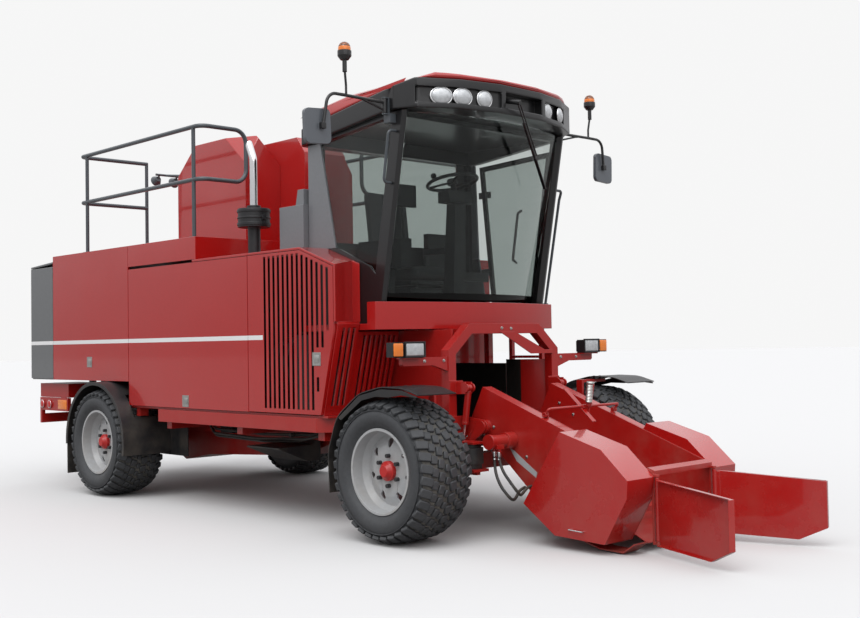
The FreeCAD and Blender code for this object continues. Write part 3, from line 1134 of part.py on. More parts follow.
def hold_down():
    """Spring-loaded bar across the chute with its pressing strap."""
    bar = tube([(2500, -412, 905), (2538, -412, 948), (2538, 412, 948), (2500, 412, 905)], 10, 16)
    eyes = [cyl_y(2500, 905, 20, s * 400, s * 424) for s in (1, -1)]
    plate = box(2520, 2556, -40, 40, 935, 961)
    strap = beam((2380, -30, 1078), (2650, -30, 838), 22, 4, (0, 1, 0))
    post = [rod((2560, 12, 880), (2605, 12, 1130), 8), rod((2566, 12, 950), (2600, 12, 1120), 22),
            box(2540, 2580, -5, 30, 940, 958)]
    whole = fuse([bar, plate, strap] + eyes + post)
    return whole.cut([cyl_y(2500, 905, 6 + FIT, s * 380, s * 430) for s in (1, -1)])


def wing(side):
    """Swinging guide wing: a flat plate with turned edges on a hinge tube."""
    hx, hy = WING_HINGE
    flare = math.atan2(237, 730)
    length = (LENGTH_HALF - hx) / math.cos(flare)
    outline = [(26, 60), (26, 500), (length, 453), (length, 135), (575, 46)]
    plate = prism(outline, lambda s, z: V(s, 0, z), V(0, 6, 0))
    front = box(length - 6, length, 0, 46, 135, 453)
    top = prism([(26, 494), (length, 447), (length, 453), (26, 500)], lambda s, z: V(s, 0, z), V(0, 34, 0))
    low = prism([(575, 46), (length, 135), (length, 141), (572, 52)], lambda s, z: V(s, 0, z), V(0, 34, 0))
    base = prism([(26, 60), (575, 46), (575, 52), (26, 66)], lambda s, z: V(s, 0, z), V(0, 34, 0))
    tube_z = cyl_z(0, 0, 15, 86, 510)
    web = box(8, 40, -3, 6, 90, 494)
    whole = fuse([plate, front, top, low, base, tube_z, web]).cut(cyl_z(0, 0, 9 + FIT, 50, 560))
    whole.rotate(V(0, 0, 0), V(0, 0, 1), math.degrees(flare))
    whole = whole.translated(V(hx, hy, 0))
    return whole if side > 0 else mirrored(whole)


def cylinder_frame():
    """Unit vector from the upper pin to the lever pin, and their distance."""
    line = V(CYL_LOW[0] - CYL_TOP[0], 0, CYL_LOW[1] - CYL_TOP[1])
    return V(line).normalize(), line.Length


def lift_barrels():
    """Cylinder tubes hung from the gantry ears."""
    along, length = cylinder_frame()
    top = V(CYL_TOP[0], CYL_Y, CYL_TOP[1])
    eye = cyl_y(*CYL_TOP, 27, CYL_Y - 15, CYL_Y + 15)
    body = Part.makeCylinder(25, 262, top + along * 22, along)
    collar = Part.makeCylinder(27, 20, top + along * 262, along)
    whole = fuse([eye, body, collar])
    bore = Part.makeCylinder(14 + FIT, 210, top + along * 80, along)
    whole = whole.cut([bore, cyl_y(*CYL_TOP, 14 + FIT, CYL_Y - 20, CYL_Y + 20)])
    return both(whole)


def lift_rods():
    """Chrome rods with an eye at the lever."""
    along, length = cylinder_frame()
    low = V(CYL_LOW[0], CYL_Y, CYL_LOW[1])
    eye = cyl_y(*CYL_LOW, 30, CYL_Y - 13, CYL_Y + 13)
    shaft = Part.makeCylinder(14, length - 140, low - along * 20, along * -1)
    return both(fuse([eye, shaft]).cut(cyl_y(*CYL_LOW, 17, CYL_Y - 20, CYL_Y + 20)))


# ---- make every sub-part ------------------------------------------------------------------------------------
export("main_frame", main_frame())
export("front_axle_beam", front_axle_beam())
export("rear_axle_beam", rear_axle_beam())
export("air_springs", air_springs())
export("front_gantry", front_gantry())
export("headlamps", headlamps())
export("rear_mudguards", rear_mudguards())
export("rear_light_bar", rear_light_bar())
export("bale_tunnel", [bale_tunnel(), guide_plate()])
export("service_deck", service_deck())
export("hood_shell", hood_shell())
export("rear_side_shields", rear_side_shields())
export("bale_tower", bale_tower())
export("guard_rails", guard_rails() + cab_rails())
export("engine_and_tanks", engine_block() + fluid_tanks())
export("air_precleaner", air_precleaner())
export("exhaust_stack", exhaust_stack())
export("underbody_hoses", underbody_hoses())
export("cab_platform", cab_platform())
export("cab_frame", cab_frame())
export("cab_rear_panels", cab_rear_panels())
export("cab_glass", [windshield()] + cab_side_glass())
export("roof_fascia", roof_fascia())
export("cab_roof", cab_roof())
export("seat_pedestal", seat_pedestal() + buddy_seat())
export("steering_column", steering_column())
export("seat_cushion", seat_cushion() + seat_back())
export("steering_wheel", steering_wheel())
export("cab_door_left", cab_door_left())
export("wiper_arm", wiper())
for name, side in SIDES.items():
    export("mirror_" + name, mirror(side))
    export("knuckle_" + name, knuckle(side))
    export("fender_" + name, fender(side))
    export("wing_" + name, wing(side))
    export("door_rear_" + name, side_door(REAR_DOOR_X + DOOR_GAP, MID_DOOR_X - DOOR_GAP, REAR_DOOR_Z,
                                          DECK_Z, side))
    export("door_mid_" + name, side_door(MID_DOOR_X + DOOR_GAP, LOUVRE_X - DOOR_GAP, MID_DOOR_Z,
                                         HOOD_Z - SHEET - DOOR_GAP, side))
    for end, x in (("front", FRONT_AXLE_X), ("rear", REAR_AXLE_X)):
        export(f"rim_{end}_{name}", at_hub(rim(), x, side))
        export(f"tyre_{end}_{name}", at_hub(tyre(), x, side))
export("door_louvre_right", louvre_door())
export("pickup_frame", pickup_frame())
export("pickup_covers", pickup_covers())
export("pickup_motor", pickup_motor())
export("feed_sprocket", feed_sprocket())
for name, points in MOTOR_HOSES.items():
    export(name, hose(points))
export("hold_down", hold_down())
export("lift_barrels", lift_barrels())
export("lift_rods", lift_rods())
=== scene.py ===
"""Looks of the self-propelled bale packer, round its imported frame. Metres; +X forward, +Y left, +Z up."""
import bpy
import math
from mathutils import Matrix, Vector


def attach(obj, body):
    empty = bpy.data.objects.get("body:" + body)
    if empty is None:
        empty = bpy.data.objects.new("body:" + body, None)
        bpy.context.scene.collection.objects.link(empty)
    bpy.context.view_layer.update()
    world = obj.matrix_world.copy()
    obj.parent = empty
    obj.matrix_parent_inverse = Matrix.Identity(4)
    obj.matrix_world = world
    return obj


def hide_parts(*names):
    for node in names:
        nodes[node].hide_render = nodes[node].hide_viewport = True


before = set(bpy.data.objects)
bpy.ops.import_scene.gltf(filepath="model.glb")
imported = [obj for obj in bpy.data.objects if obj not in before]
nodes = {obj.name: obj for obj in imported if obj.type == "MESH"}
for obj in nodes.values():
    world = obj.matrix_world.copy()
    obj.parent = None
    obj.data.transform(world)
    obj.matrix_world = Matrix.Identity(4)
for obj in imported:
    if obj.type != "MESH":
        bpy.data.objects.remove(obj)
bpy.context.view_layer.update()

# ---- viewpoint ---------------------------------------------------------------------------------------------
# One camera at standing height off the front right-hand corner, a hair off level as a hand-held camera is.
azimuth, pitch, roll = math.radians(46.24), math.radians(1.96), math.radians(-0.985)
look = Vector((-math.sin(azimuth) * math.cos(pitch), math.cos(azimuth) * math.cos(pitch), math.sin(pitch)))
level = look.cross(Vector((0, 0, 1))).normalized()
upright = level.cross(look)
right = level * math.cos(roll) + upright * math.sin(roll)
top = upright * math.cos(roll) - level * math.sin(roll)
camera_data = bpy.data.cameras.new("camera")
camera_data.lens = 47.85
camera_data.sensor_width = 36
camera_data.shift_y = -0.0066
camera_data.clip_end = 300
camera = bpy.data.objects.new("camera", camera_data)
bpy.context.scene.collection.objects.link(camera)
aim = Matrix((right, top, -look)).transposed().to_4x4()
camera.matrix_world = Matrix.Translation((7.949, -6.767, 1.445)) @ aim
bpy.context.scene.camera = camera


# ---- black rubber and its shader groups --------------------------------------------------------------------
# Grime settles low on a farm machine and breaks up the colour of every part. One node group lays it on, and a
# second one gives pressed sheet its long soft waves and sprayed paint its orange peel.
def wire(tree, pairs):
    """Links output sockets to input sockets."""
    for a, b in pairs:
        tree.links.new(a, b)


def new_group(name, inputs, outputs):
    """An empty node group with float, vector or colour sockets given as (name, kind, default)."""
    group = bpy.data.node_groups.new(name, "ShaderNodeTree")
    for way, sockets in (("INPUT", inputs), ("OUTPUT", outputs)):
        for label, kind, default in sockets:
            socket = group.interface.new_socket(name=label, in_out=way, socket_type="NodeSocket" + kind)
            if default is not None:
                socket.default_value = default
    return group, group.nodes.new("NodeGroupInput"), group.nodes.new("NodeGroupOutput")


def add_node(tree, kind, **settings):
    """A shader node with properties set by name and input sockets set through their labels."""
    node = tree.nodes.new("ShaderNode" + kind)
    for key, value in settings.items():
        if hasattr(node, key):
            setattr(node, key, value)
        else:
            node.inputs[key.replace("_", " ")].default_value = value
    return node


grime, g_in, g_out = new_group(
    "grime",
    [("Vector", "Vector", None), ("Colour", "Color", (0.5, 0.5, 0.5, 1)),
     ("Dust", "Color", (0.3, 0.24, 0.17, 1)), ("Top", "Float", 0.8), ("Amount", "Float", 0.5),
     ("Mottle", "Float", 0.06)],
    [("Colour", "Color", None), ("Mask", "Float", None)])
g_split = add_node(grime, "SeparateXYZ")
g_fade = add_node(grime, "MapRange", From_Min=0.0, To_Min=1.0, To_Max=0.0)
g_cloud = add_node(grime, "TexNoise", Scale=5.0, Detail=6.0, Roughness=0.62)
g_speck = add_node(grime, "TexNoise", Scale=38.0, Detail=3.0, Roughness=0.6)
g_patch = add_node(grime, "MapRange", From_Min=0.36, From_Max=0.66)
g_both = add_node(grime, "Math", operation="MULTIPLY")
g_mask = add_node(grime, "Math", operation="MULTIPLY", use_clamp=True)
g_shade = add_node(grime, "MapRange", From_Min=0.3, From_Max=0.7)
g_low = add_node(grime, "Math", operation="SUBTRACT")
g_low.inputs[0].default_value = 1.0
g_tone = add_node(grime, "HueSaturation")
g_mix = add_node(grime, "Mix", data_type="RGBA")
wire(grime, [
    (g_in.outputs["Vector"], g_split.inputs[0]), (g_in.outputs["Vector"], g_cloud.inputs["Vector"]),
    (g_in.outputs["Vector"], g_speck.inputs["Vector"]), (g_split.outputs["Z"], g_fade.inputs["Value"]),
    (g_in.outputs["Top"], g_fade.inputs["From Max"]), (g_cloud.outputs[0], g_patch.inputs["Value"]),
    (g_fade.outputs[0], g_both.inputs[0]), (g_patch.outputs[0], g_both.inputs[1]),
    (g_both.outputs[0], g_mask.inputs[0]), (g_in.outputs["Amount"], g_mask.inputs[1]),
    (g_in.outputs["Mottle"], g_low.inputs[1]), (g_speck.outputs[0], g_shade.inputs["Value"]),
    (g_low.outputs[0], g_shade.inputs["To Min"]), (g_shade.outputs[0], g_tone.inputs["Value"]),
    (g_in.outputs["Colour"], g_tone.inputs["Color"]), (g_tone.outputs[0], g_mix.inputs["A"]),
    (g_in.outputs["Dust"], g_mix.inputs["B"]), (g_mask.outputs[0], g_mix.inputs["Factor"]),
    (g_mix.outputs["Result"], g_out.inputs["Colour"]), (g_mask.outputs[0], g_out.inputs["Mask"])])

waves, w_in, w_out = new_group(
    "sheet_waves",
    [("Vector", "Vector", None), ("Pitch", "Float", 1.6), ("Depth", "Float", 1.0), ("Peel", "Float", 0.02)],
    [("Height", "Float", None)])
w_long = add_node(waves, "TexNoise", Detail=1.0, Roughness=0.4)
w_fine = add_node(waves, "TexNoise", Scale=420.0, Detail=1.0)
w_a = add_node(waves, "Math", operation="MULTIPLY")
w_b = add_node(waves, "Math", operation="MULTIPLY")
w_sum = add_node(waves, "Math", operation="ADD")
wire(waves, [
    (w_in.outputs["Vector"], w_long.inputs["Vector"]), (w_in.outputs["Pitch"], w_long.inputs["Scale"]),
    (w_in.outputs["Vector"], w_fine.inputs["Vector"]), (w_long.outputs[0], w_a.inputs[0]),
    (w_in.outputs["Depth"], w_a.inputs[1]), (w_fine.outputs[0], w_b.inputs[0]),
    (w_in.outputs["Peel"], w_b.inputs[1]), (w_a.outputs[0], w_sum.inputs[0]),
    (w_b.outputs[0], w_sum.inputs[1]), (w_sum.outputs[0], w_out.inputs["Height"])])


def place_group(tree, group, **values):
    """A node group placed in a material with its own values."""
    node = tree.nodes.new("ShaderNodeGroup")
    node.node_tree = group
    for key, value in values.items():
        node.inputs[key].default_value = value
    return node


def finish_of(name, colour, rough, metal=0.0, coat=0.0, coat_rough=0.05, dust=0.3, top=0.9, mottle=0.08,
              pitch=1.6, depth=0.0, peel=0.0, bump=0.02, dusty_rough=0.75, dust_colour=(0.30, 0.25, 0.19, 1)):
    """A surface whose colour is broken up and dusted low down, and whose shape waves a little."""
    material = bpy.data.materials.new(name)
    material.use_nodes = True
    tree = material.node_tree
    shader = tree.nodes["Principled BSDF"]
    shader.inputs["Metallic"].default_value = metal
    shader.inputs["Coat Weight"].default_value = coat
    shader.inputs["Coat Roughness"].default_value = coat_rough
    where = add_node(tree, "TexCoord")
    dirt = place_group(tree, grime, Colour=(*colour, 1), Dust=dust_colour, Top=top, Amount=dust,
                       Mottle=mottle)
    rise = place_group(tree, waves, Pitch=pitch, Depth=depth, Peel=peel)
    press = add_node(tree, "Bump", Strength=1.0, Distance=bump)
    dull = add_node(tree, "MapRange", To_Min=rough, To_Max=dusty_rough)
    wire(tree, [
        (where.outputs["Object"], dirt.inputs["Vector"]), (where.outputs["Object"], rise.inputs["Vector"]),
        (dirt.outputs["Colour"], shader.inputs["Base Color"]), (dirt.outputs["Mask"], dull.inputs["Value"]),
        (dull.outputs[0], shader.inputs["Roughness"]), (rise.outputs["Height"], press.inputs["Height"]),
        (press.outputs[0], shader.inputs["Normal"])])
    return material


rubber = finish_of("black_rubber", (0.016, 0.016, 0.017), 0.50, dust=0.30, top=1.2, peel=0.6, bump=0.0006)


# ---- motor hoses -------------------------------------------------------------------------------------------
# Two short pressure hoses, braided wire under black rubber with crimped steel ends. They drop from the feed
# motor and loop back into bulkhead fittings on the arm.
hose_radius = 0.011


def motor_hose(name, node, route):
    """A hose from the motor to the arm, along a smooth line led by the route's points."""
    data = bpy.data.curves.new(name, "CURVE")
    data.dimensions = "3D"
    data.bevel_depth = hose_radius
    data.bevel_resolution = 4
    data.use_fill_caps = True
    data.resolution_u = 12
    spline = data.splines.new("NURBS")
    spline.points.add(len(route) - 1)
    for point, place in zip(spline.points, route):
        point.co = (*place, 1)
    spline.order_u = 3
    spline.use_endpoint_u = True
    data.materials.append(rubber)
    curve = bpy.data.objects.new(name, data)
    bpy.context.scene.collection.objects.link(curve)
    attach(curve, "pickup")
    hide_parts(node)


motor_hose("feed_hose_front", "motor_hose_front", [
    (2.250, -0.640, 0.640), (2.250, -0.640, 0.582), (2.292, -0.648, 0.502), (2.366, -0.652, 0.430),
    (2.414, -0.634, 0.366), (2.408, -0.590, 0.330), (2.394, -0.540, 0.352), (2.392, -0.492, 0.384),
    (2.392, -0.450, 0.384)])
motor_hose("feed_hose_rear", "motor_hose_rear", [
    (2.204, -0.640, 0.640), (2.204, -0.640, 0.576), (2.230, -0.660, 0.488), (2.294, -0.680, 0.402),
    (2.352, -0.672, 0.340), (2.362, -0.628, 0.296), (2.344, -0.570, 0.304), (2.330, -0.512, 0.362),
    (2.330, -0.450, 0.372)])

# ---- painted sheet and frame -------------------------------------------------------------------------------
# Folded and welded steel, sprayed glossy red and clear-coated. Large doors are thin and show long soft waves.
# Fittings are black, grey, plated or moulded, and a plain white line runs along both sides of the body.
red = finish_of("red_paint", (0.40, 0.006, 0.005), 0.26, coat=0.9, dust=0.10, top=0.85, mottle=0.05,
                depth=0.30, peel=0.0012, bump=0.05, pitch=1.5)
red_frame = finish_of("red_frame_paint", (0.36, 0.007, 0.005), 0.34, coat=0.35, coat_rough=0.12, dust=0.28,
                      top=0.95, peel=0.02, bump=0.003)
black = finish_of("black_paint", (0.010, 0.010, 0.011), 0.32, coat=0.25, dust=0.15, top=1.0, peel=0.01,
                  bump=0.003)
grey = finish_of("grey_paint", (0.17, 0.178, 0.19), 0.40, coat=0.15, dust=0.12, top=1.0, peel=0.02,
                 bump=0.003)
rail_grey = finish_of("rail_paint", (0.060, 0.070, 0.080), 0.38, coat=0.2, dust=0.1, top=0.5, peel=0.02,
                      bump=0.002)
plastic = finish_of("moulded_plastic", (0.014, 0.014, 0.016), 0.42, dust=0.25, top=1.3, mottle=0.12, peel=0.4,
                    bump=0.0012)
steel = finish_of("zinc_steel", (0.55, 0.55, 0.53), 0.32, metal=1.0, dust=0.2, top=0.6, mottle=0.15, peel=0.1,
                  bump=0.001)
chrome = finish_of("chrome_plate", (0.78, 0.78, 0.79), 0.08, metal=1.0, dust=0.0, mottle=0.04)


def masked(material, name, tests, colour):
    """A copy of a finish that takes another colour where every (axis, way, edge) test on its place holds."""
    copy = material.copy()
    copy.name = name
    tree = copy.node_tree
    shader = tree.nodes["Principled BSDF"]
    under = shader.inputs["Base Color"].links[0].from_socket
    where = add_node(tree, "TexCoord")
    split = add_node(tree, "SeparateXYZ")
    wire(tree, [(where.outputs["Object"], split.inputs[0])])
    held = None
    for axis, way, edge in tests:
        source = split.outputs[axis.strip("|")]
        if "|" in axis:
            size = add_node(tree, "Math", operation="ABSOLUTE")
            wire(tree, [(source, size.inputs[0])])
            source = size.outputs[0]
        test = add_node(tree, "Math", operation=way)
        test.inputs[1].default_value = edge
        wire(tree, [(source, test.inputs[0])])
        if held:
            both = add_node(tree, "Math", operation="MULTIPLY")
            wire(tree, [(held, both.inputs[0]), (test.outputs[0], both.inputs[1])])
            held = both.outputs[0]
        else:
            held = test.outputs[0]
    mix = add_node(tree, "Mix", data_type="RGBA")
    mix.inputs["B"].default_value = (*colour, 1)
    wire(tree, [(held, mix.inputs["Factor"]), (under, mix.inputs["A"]),
                (mix.outputs["Result"], shader.inputs["Base Color"])])
    return copy


def dress(names, material, edge=0.003, segments=2):
    """Gives CAD nodes their finish, and the small radius that real folds and machined edges have."""
    for name in names.split():
        node = nodes[name]
        node.data.materials.clear()
        node.data.materials.append(material)
        for face in node.data.polygons:
            face.use_smooth = True
        weld = node.modifiers.new("weld", "WELD")
        weld.merge_threshold = 0.00002
        round_edges = node.modifiers.new("edges", "BEVEL")
        round_edges.width = edge
        round_edges.segments = segments
        round_edges.limit_method = "ANGLE"
        round_edges.angle_limit = math.radians(28)
        round_edges.use_clamp_overlap = False
        node.modifiers.new("normals", "WEIGHTED_NORMAL")


# Near black here is painted shade for the inside of the bale tunnel's bore.
bore_painted_shade = (0.012, 0.010, 0.009)
coach_white = (0.78, 0.78, 0.78)
coach_line = [("Z", "GREATER_THAN", 1.490), ("Z", "LESS_THAN", 1.528), ("X", "LESS_THAN", 0.19)]
coach = masked(red, "red_paint_striped", coach_line, coach_white)
dress("door_rear_right door_rear_left door_mid_right door_mid_left door_louvre_right", coach, 0.002)
dress("hood_shell service_deck", red, 0.003)
dress("bale_tower", red, 0.006)
dress("pickup_covers wing_right wing_left", red, 0.002)
dress("main_frame front_axle_beam rear_axle_beam front_gantry rear_light_bar pickup_frame hold_down "
      "lift_barrels pickup_motor knuckle_right knuckle_left", red_frame, 0.002)
# Everything inside |Y| 0.5045 on the bale tunnel, its hollow bore, is coloured near black: painted shade.
tunnel_bore = [("|Y|", "LESS_THAN", 0.5045)]
dress("bale_tunnel", masked(red_frame, "tunnel_paint", tunnel_bore, bore_painted_shade), 0.002)
# The shields are dark paint made a lighter grey to stand in for the bright sky they mirror: painted
# reflection over dark paint.
shield_reflection_grey = finish_of("shield_paint_lightened_for_reflection", (0.13, 0.135, 0.14), 0.34, coat=0.3, dust=0.15, top=1.0,
                        peel=0.01, bump=0.003)
dress("rear_side_shields", masked(shield_reflection_grey, "shield_paint_striped", coach_line, coach_white), 0.004)
dress("cab_frame wiper_arm", black, 0.003)
dress("cab_platform", red, 0.003)
dress("roof_fascia", black, 0.012, 3)
dress("cab_roof", red, 0.022, 4)
dress("guard_rails", rail_grey, 0.001)
dress("cab_rear_panels", grey, 0.004)
dress("headlamps rear_mudguards fender_right fender_left air_precleaner seat_pedestal steering_column "
      "steering_wheel engine_and_tanks", plastic, 0.002)
dress("air_springs underbody_hoses", rubber, 0.003)
dress("exhaust_stack lift_rods", chrome, 0.001)
dress("feed_sprocket", steel, 0.001)
mirror_heads = [("|Y|", "GREATER_THAN", 1.53), ("Z", "LESS_THAN", 3.165), ("X", "LESS_THAN", 1.495)]
dress("mirror_right mirror_left", masked(black, "mirror_paint", mirror_heads, (0.10, 0.11, 0.125)), 0.003)

# ---- floor and studio light --------------------------------------------------------------------------------
# A wide matt floor that runs into a plain pale surround. What the paint mirrors is a bright ceiling over
# darker walls and floor, and two broad lamps high on the camera's side give the soft shadows.
def drop_selection():
    """Leaves nothing selected, because operators act on all that is."""
    bpy.ops.object.select_all(action="DESELECT")


drop_selection()
bpy.ops.mesh.primitive_circle_add(vertices=96, radius=140, fill_type="NGON", location=(0, 0, -0.001))
floor = bpy.context.object
floor.name = "floor"
floor_paint = bpy.data.materials.new("studio_floor")
floor_paint.use_nodes = True
floor_tree = floor_paint.node_tree
floor_tree.nodes.clear()
floor_seen = add_node(floor_tree, "BsdfDiffuse", Color=(0.612, 0.612, 0.612, 1))
floor_dim = add_node(floor_tree, "BsdfDiffuse", Color=(0.30, 0.295, 0.29, 1))
floor_ray = add_node(floor_tree, "LightPath")
floor_mix = add_node(floor_tree, "MixShader")
floor_end = add_node(floor_tree, "OutputMaterial")
floor_seen_by = add_node(floor_tree, "Math", operation="MAXIMUM")
wire(floor_tree, [(floor_ray.outputs["Is Camera Ray"], floor_seen_by.inputs[0]),
                  (floor_ray.outputs["Is Transmission Ray"], floor_seen_by.inputs[1]),
                  (floor_seen_by.outputs[0], floor_mix.inputs[0]),
                  (floor_dim.outputs[0], floor_mix.inputs[1]), (floor_seen.outputs[0], floor_mix.inputs[2]),
                  (floor_mix.outputs[0], floor_end.inputs["Surface"])])
floor.data.materials.append(floor_paint)

scene = bpy.context.scene
scene.view_settings.view_transform = "Standard"
world = bpy.data.worlds.new("studio")
scene.world = world
world.use_nodes = True
sky_tree = world.node_tree
sky_place = add_node(sky_tree, "TexCoord")
sky_split = add_node(sky_tree, "SeparateXYZ")
sky_ramp = add_node(sky_tree, "ValToRGB")
sky_ramp.color_ramp.elements[0].position = 0.0
sky_ramp.color_ramp.elements[0].color = (0.28, 0.28, 0.28, 1)
sky_ramp.color_ramp.elements[1].position = 1.0
sky_ramp.color_ramp.elements[1].color = (1.30, 1.31, 1.34, 1)
for height, glow in ((0.06, 0.42), (0.16, 0.72), (0.40, 0.95)):
    sky_ramp.color_ramp.elements.new(height).color = (glow, glow, glow * 1.02, 1)
sky_ray = add_node(sky_tree, "LightPath")
sky_seen_by = add_node(sky_tree, "Math", operation="MAXIMUM")
sky_mix = add_node(sky_tree, "Mix", data_type="RGBA")
sky_mix.inputs["B"].default_value = (0.925, 0.925, 0.925, 1)
wire(sky_tree, [
    (sky_place.outputs["Generated"], sky_split.inputs[0]), (sky_split.outputs["Z"], sky_ramp.inputs[0]),
    (sky_ramp.outputs["Color"], sky_mix.inputs["A"]),
    (sky_ray.outputs["Is Camera Ray"], sky_seen_by.inputs[0]),
    (sky_ray.outputs["Is Transmission Ray"], sky_seen_by.inputs[1]),
    (sky_seen_by.outputs[0], sky_mix.inputs["Factor"]),
    (sky_mix.outputs["Result"], sky_tree.nodes["Background"].inputs["Color"])])
for label, power, spread, source in (("fill", 0.8, 70, (0.75, -0.35, 0.8)),
                                     ("key", 1.0, 40, (0.25, -0.65, 1.0))):
    lamp_data = bpy.data.lights.new(label, "SUN")
    lamp_data.energy = power
    lamp_data.angle = math.radians(spread)
    lamp = bpy.data.objects.new(label, lamp_data)
    lamp.rotation_euler = Vector(source).to_track_quat("Z", "Y").to_euler()
    scene.collection.objects.link(lamp)

# ---- tyres -------------------------------------------------------------------------------------------------
# Wide low-pressure tyres: a round-shouldered black carcass with eight staggered rows of moulded blocks, the
# outer ones running down the shoulder, and dried earth in the grooves.
tread = finish_of("tyre_rubber", (0.046, 0.049, 0.054), 0.60, dust=0.18, top=1.2, mottle=0.25, peel=0.5,
                  bump=0.0012, dust_colour=(0.12, 0.115, 0.11, 1))
groove = finish_of("tyre_groove", (0.075, 0.073, 0.068), 0.85, dust=0.7, top=1.3, mottle=0.3, peel=0.8,
                   bump=0.002, dust_colour=(0.25, 0.23, 0.20, 1))


def edit_all():
    """Edit mode on the active piece, all of it selected."""
    bpy.ops.object.mode_set(mode="EDIT")
    bpy.ops.mesh.select_all(action="SELECT")


def settle(name, body, material, edge=0.0, segments=2, smooth=35):
    """Bakes the active piece's place into its mesh, rounds its edges, paints it and ties it to its body."""
    piece = bpy.context.object
    piece.name = name
    bpy.ops.object.transform_apply(location=True, rotation=True, scale=True)
    edit_all()
    bpy.ops.mesh.remove_doubles(threshold=0.00005)
    bpy.ops.mesh.normals_make_consistent(inside=False)
    bpy.ops.object.mode_set(mode="OBJECT")
    if edge:
        rounding = piece.modifiers.new("edges", "BEVEL")
        rounding.width = edge
        rounding.segments = segments
        rounding.limit_method = "ANGLE"
        rounding.angle_limit = math.radians(30)
        bpy.ops.object.modifier_apply(modifier="edges")
    bpy.ops.object.shade_smooth_by_angle(angle=math.radians(smooth))
    piece.data.materials.clear()
    piece.data.materials.append(material)
    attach(piece, body)
    drop_selection()
    return piece


def join(pieces):
    """Makes one object of several; the first keeps its name."""
    drop_selection()
    for piece in pieces:
        piece.select_set(True)
    bpy.context.view_layer.objects.active = pieces[0]
    bpy.ops.object.join()
    return bpy.context.object


def block(low, high):
    """A cube stretched between two corners."""
    drop_selection()
    middle = [(a + b) / 2 for a, b in zip(low, high)]
    bpy.ops.mesh.primitive_cube_add(size=1, location=middle, scale=[abs(b - a) for a, b in zip(low, high)])
    bpy.ops.object.transform_apply(location=True, rotation=True, scale=True)
    return bpy.context.object


def bar(start, end, radius, sides=16):
    """A round bar between two points."""
    drop_selection()
    start, end = Vector(start), Vector(end)
    along = end - start
    bpy.ops.mesh.primitive_cylinder_add(vertices=sides, radius=radius, depth=along.length)
    piece = bpy.context.object
    turn = along.to_track_quat("Z", "Y").to_matrix().to_4x4()
    piece.matrix_world = Matrix.Translation((start + end) / 2) @ turn
    bpy.ops.object.transform_apply(location=True, rotation=True, scale=True)
    return piece


def lathe(outline, centre, steps=48):
    """A closed (y, radius) outline spun about the line through centre along Y."""
    drop_selection()
    bpy.ops.mesh.primitive_circle_add(vertices=len(outline), radius=1)
    piece = bpy.context.object
    for vertex, (y, r) in zip(piece.data.vertices, outline):
        vertex.co = (centre[0], y, centre[2] + r)
    edit_all()
    bpy.ops.mesh.spin(steps=steps, angle=2 * math.pi, center=centre, axis=(0, 1, 0))
    bpy.ops.mesh.select_all(action="SELECT")
    bpy.ops.mesh.remove_doubles(threshold=0.0001)
    bpy.ops.mesh.normals_make_consistent(inside=False)
    bpy.ops.object.mode_set(mode="OBJECT")
    return piece


def coat_of_rubber(piece, is_tread):
    """Groove rubber on a piece, and tread rubber on the faces that the test picks."""
    piece.data.materials.clear()
    piece.data.materials.append(groove)
    piece.data.materials.append(tread)
    for face in piece.data.polygons:
        face.material_index = 1 if is_tread(face) else 0


front_axle_x, rear_axle_x = 1.750, -2.447
tyre_in, tyre_out, hub_z, wall_top = 0.900, 1.400, 0.525, 0.474
half_carcass = [(0.0, 0.508), (0.075, 0.506), (0.135, 0.499), (0.182, 0.486), (0.216, 0.464), (0.238, 0.436),
                (0.247, 0.405), (0.245, 0.372), (0.233, 0.345), (0.229, 0.341), (0.221, 0.327),
                (0.208, 0.316), (0.203, 0.303)]
tyre_mid = (tyre_in + tyre_out) / 2
carcass_outline = ([(tyre_mid + y, r) for y, r in half_carcass]
                   + [(tyre_mid - y, r) for y, r in reversed(half_carcass[1:])])
carcass = lathe(carcass_outline, (0, 0, 0), 96)
coat_of_rubber(carcass, lambda face: math.hypot(face.center.x, face.center.z) < wall_top)
lug_rows = [  # offset across, half width, half length round, top radius, lean, stagger
    (-0.208, 0.046, 0.030, 0.497, -24, 0.0), (-0.137, 0.031, 0.032, 0.5155, -9, 0.30),
    (-0.083, 0.017, 0.024, 0.5225, -3, 0.62), (-0.027, 0.031, 0.034, 0.5245, 0, 0.10),
    (0.030, 0.019, 0.026, 0.5245, 0, 0.52), (0.083, 0.026, 0.032, 0.5215, 3, 0.88),
    (0.140, 0.026, 0.030, 0.5145, 9, 0.25), (0.206, 0.046, 0.030, 0.497, 24, 0.60)]
lugs_round, lug_depth, lug_twist = 36, 0.030, 14
lug_row_pieces = []
for across, half_w, half_l, top_r, lean, stagger in lug_rows:
    block((-half_l, -half_w, -lug_depth), (half_l, half_w, 0))
    lug = bpy.context.object
    edit_all()
    bpy.ops.mesh.bevel(offset=0.006, segments=1, affect="EDGES")
    bpy.ops.object.mode_set(mode="OBJECT")
    tilt = Matrix.Rotation(math.radians(-lean), 4, "X")
    twist = Matrix.Rotation(math.radians(lug_twist if across < 0 else -lug_twist), 4, "Z")
    seat = Matrix.Translation((0, tyre_mid + across, top_r)) @ tilt @ twist
    shape = lug.data.copy()
    copies = []
    for step in range(lugs_round):
        angle = 2 * math.pi * (step + stagger) / lugs_round
        one = shape.copy()
        one.transform(Matrix.Rotation(angle, 4, "Y") @ seat)
        copy = bpy.data.objects.new("lug", one)
        scene.collection.objects.link(copy)
        copies.append(copy)
    bpy.data.objects.remove(lug)
    lug_row_pieces.append(join(copies))
lugs = join(lug_row_pieces)
coat_of_rubber(lugs, lambda face: True)
whole_tyre = join([carcass, lugs])
bead_rings = []
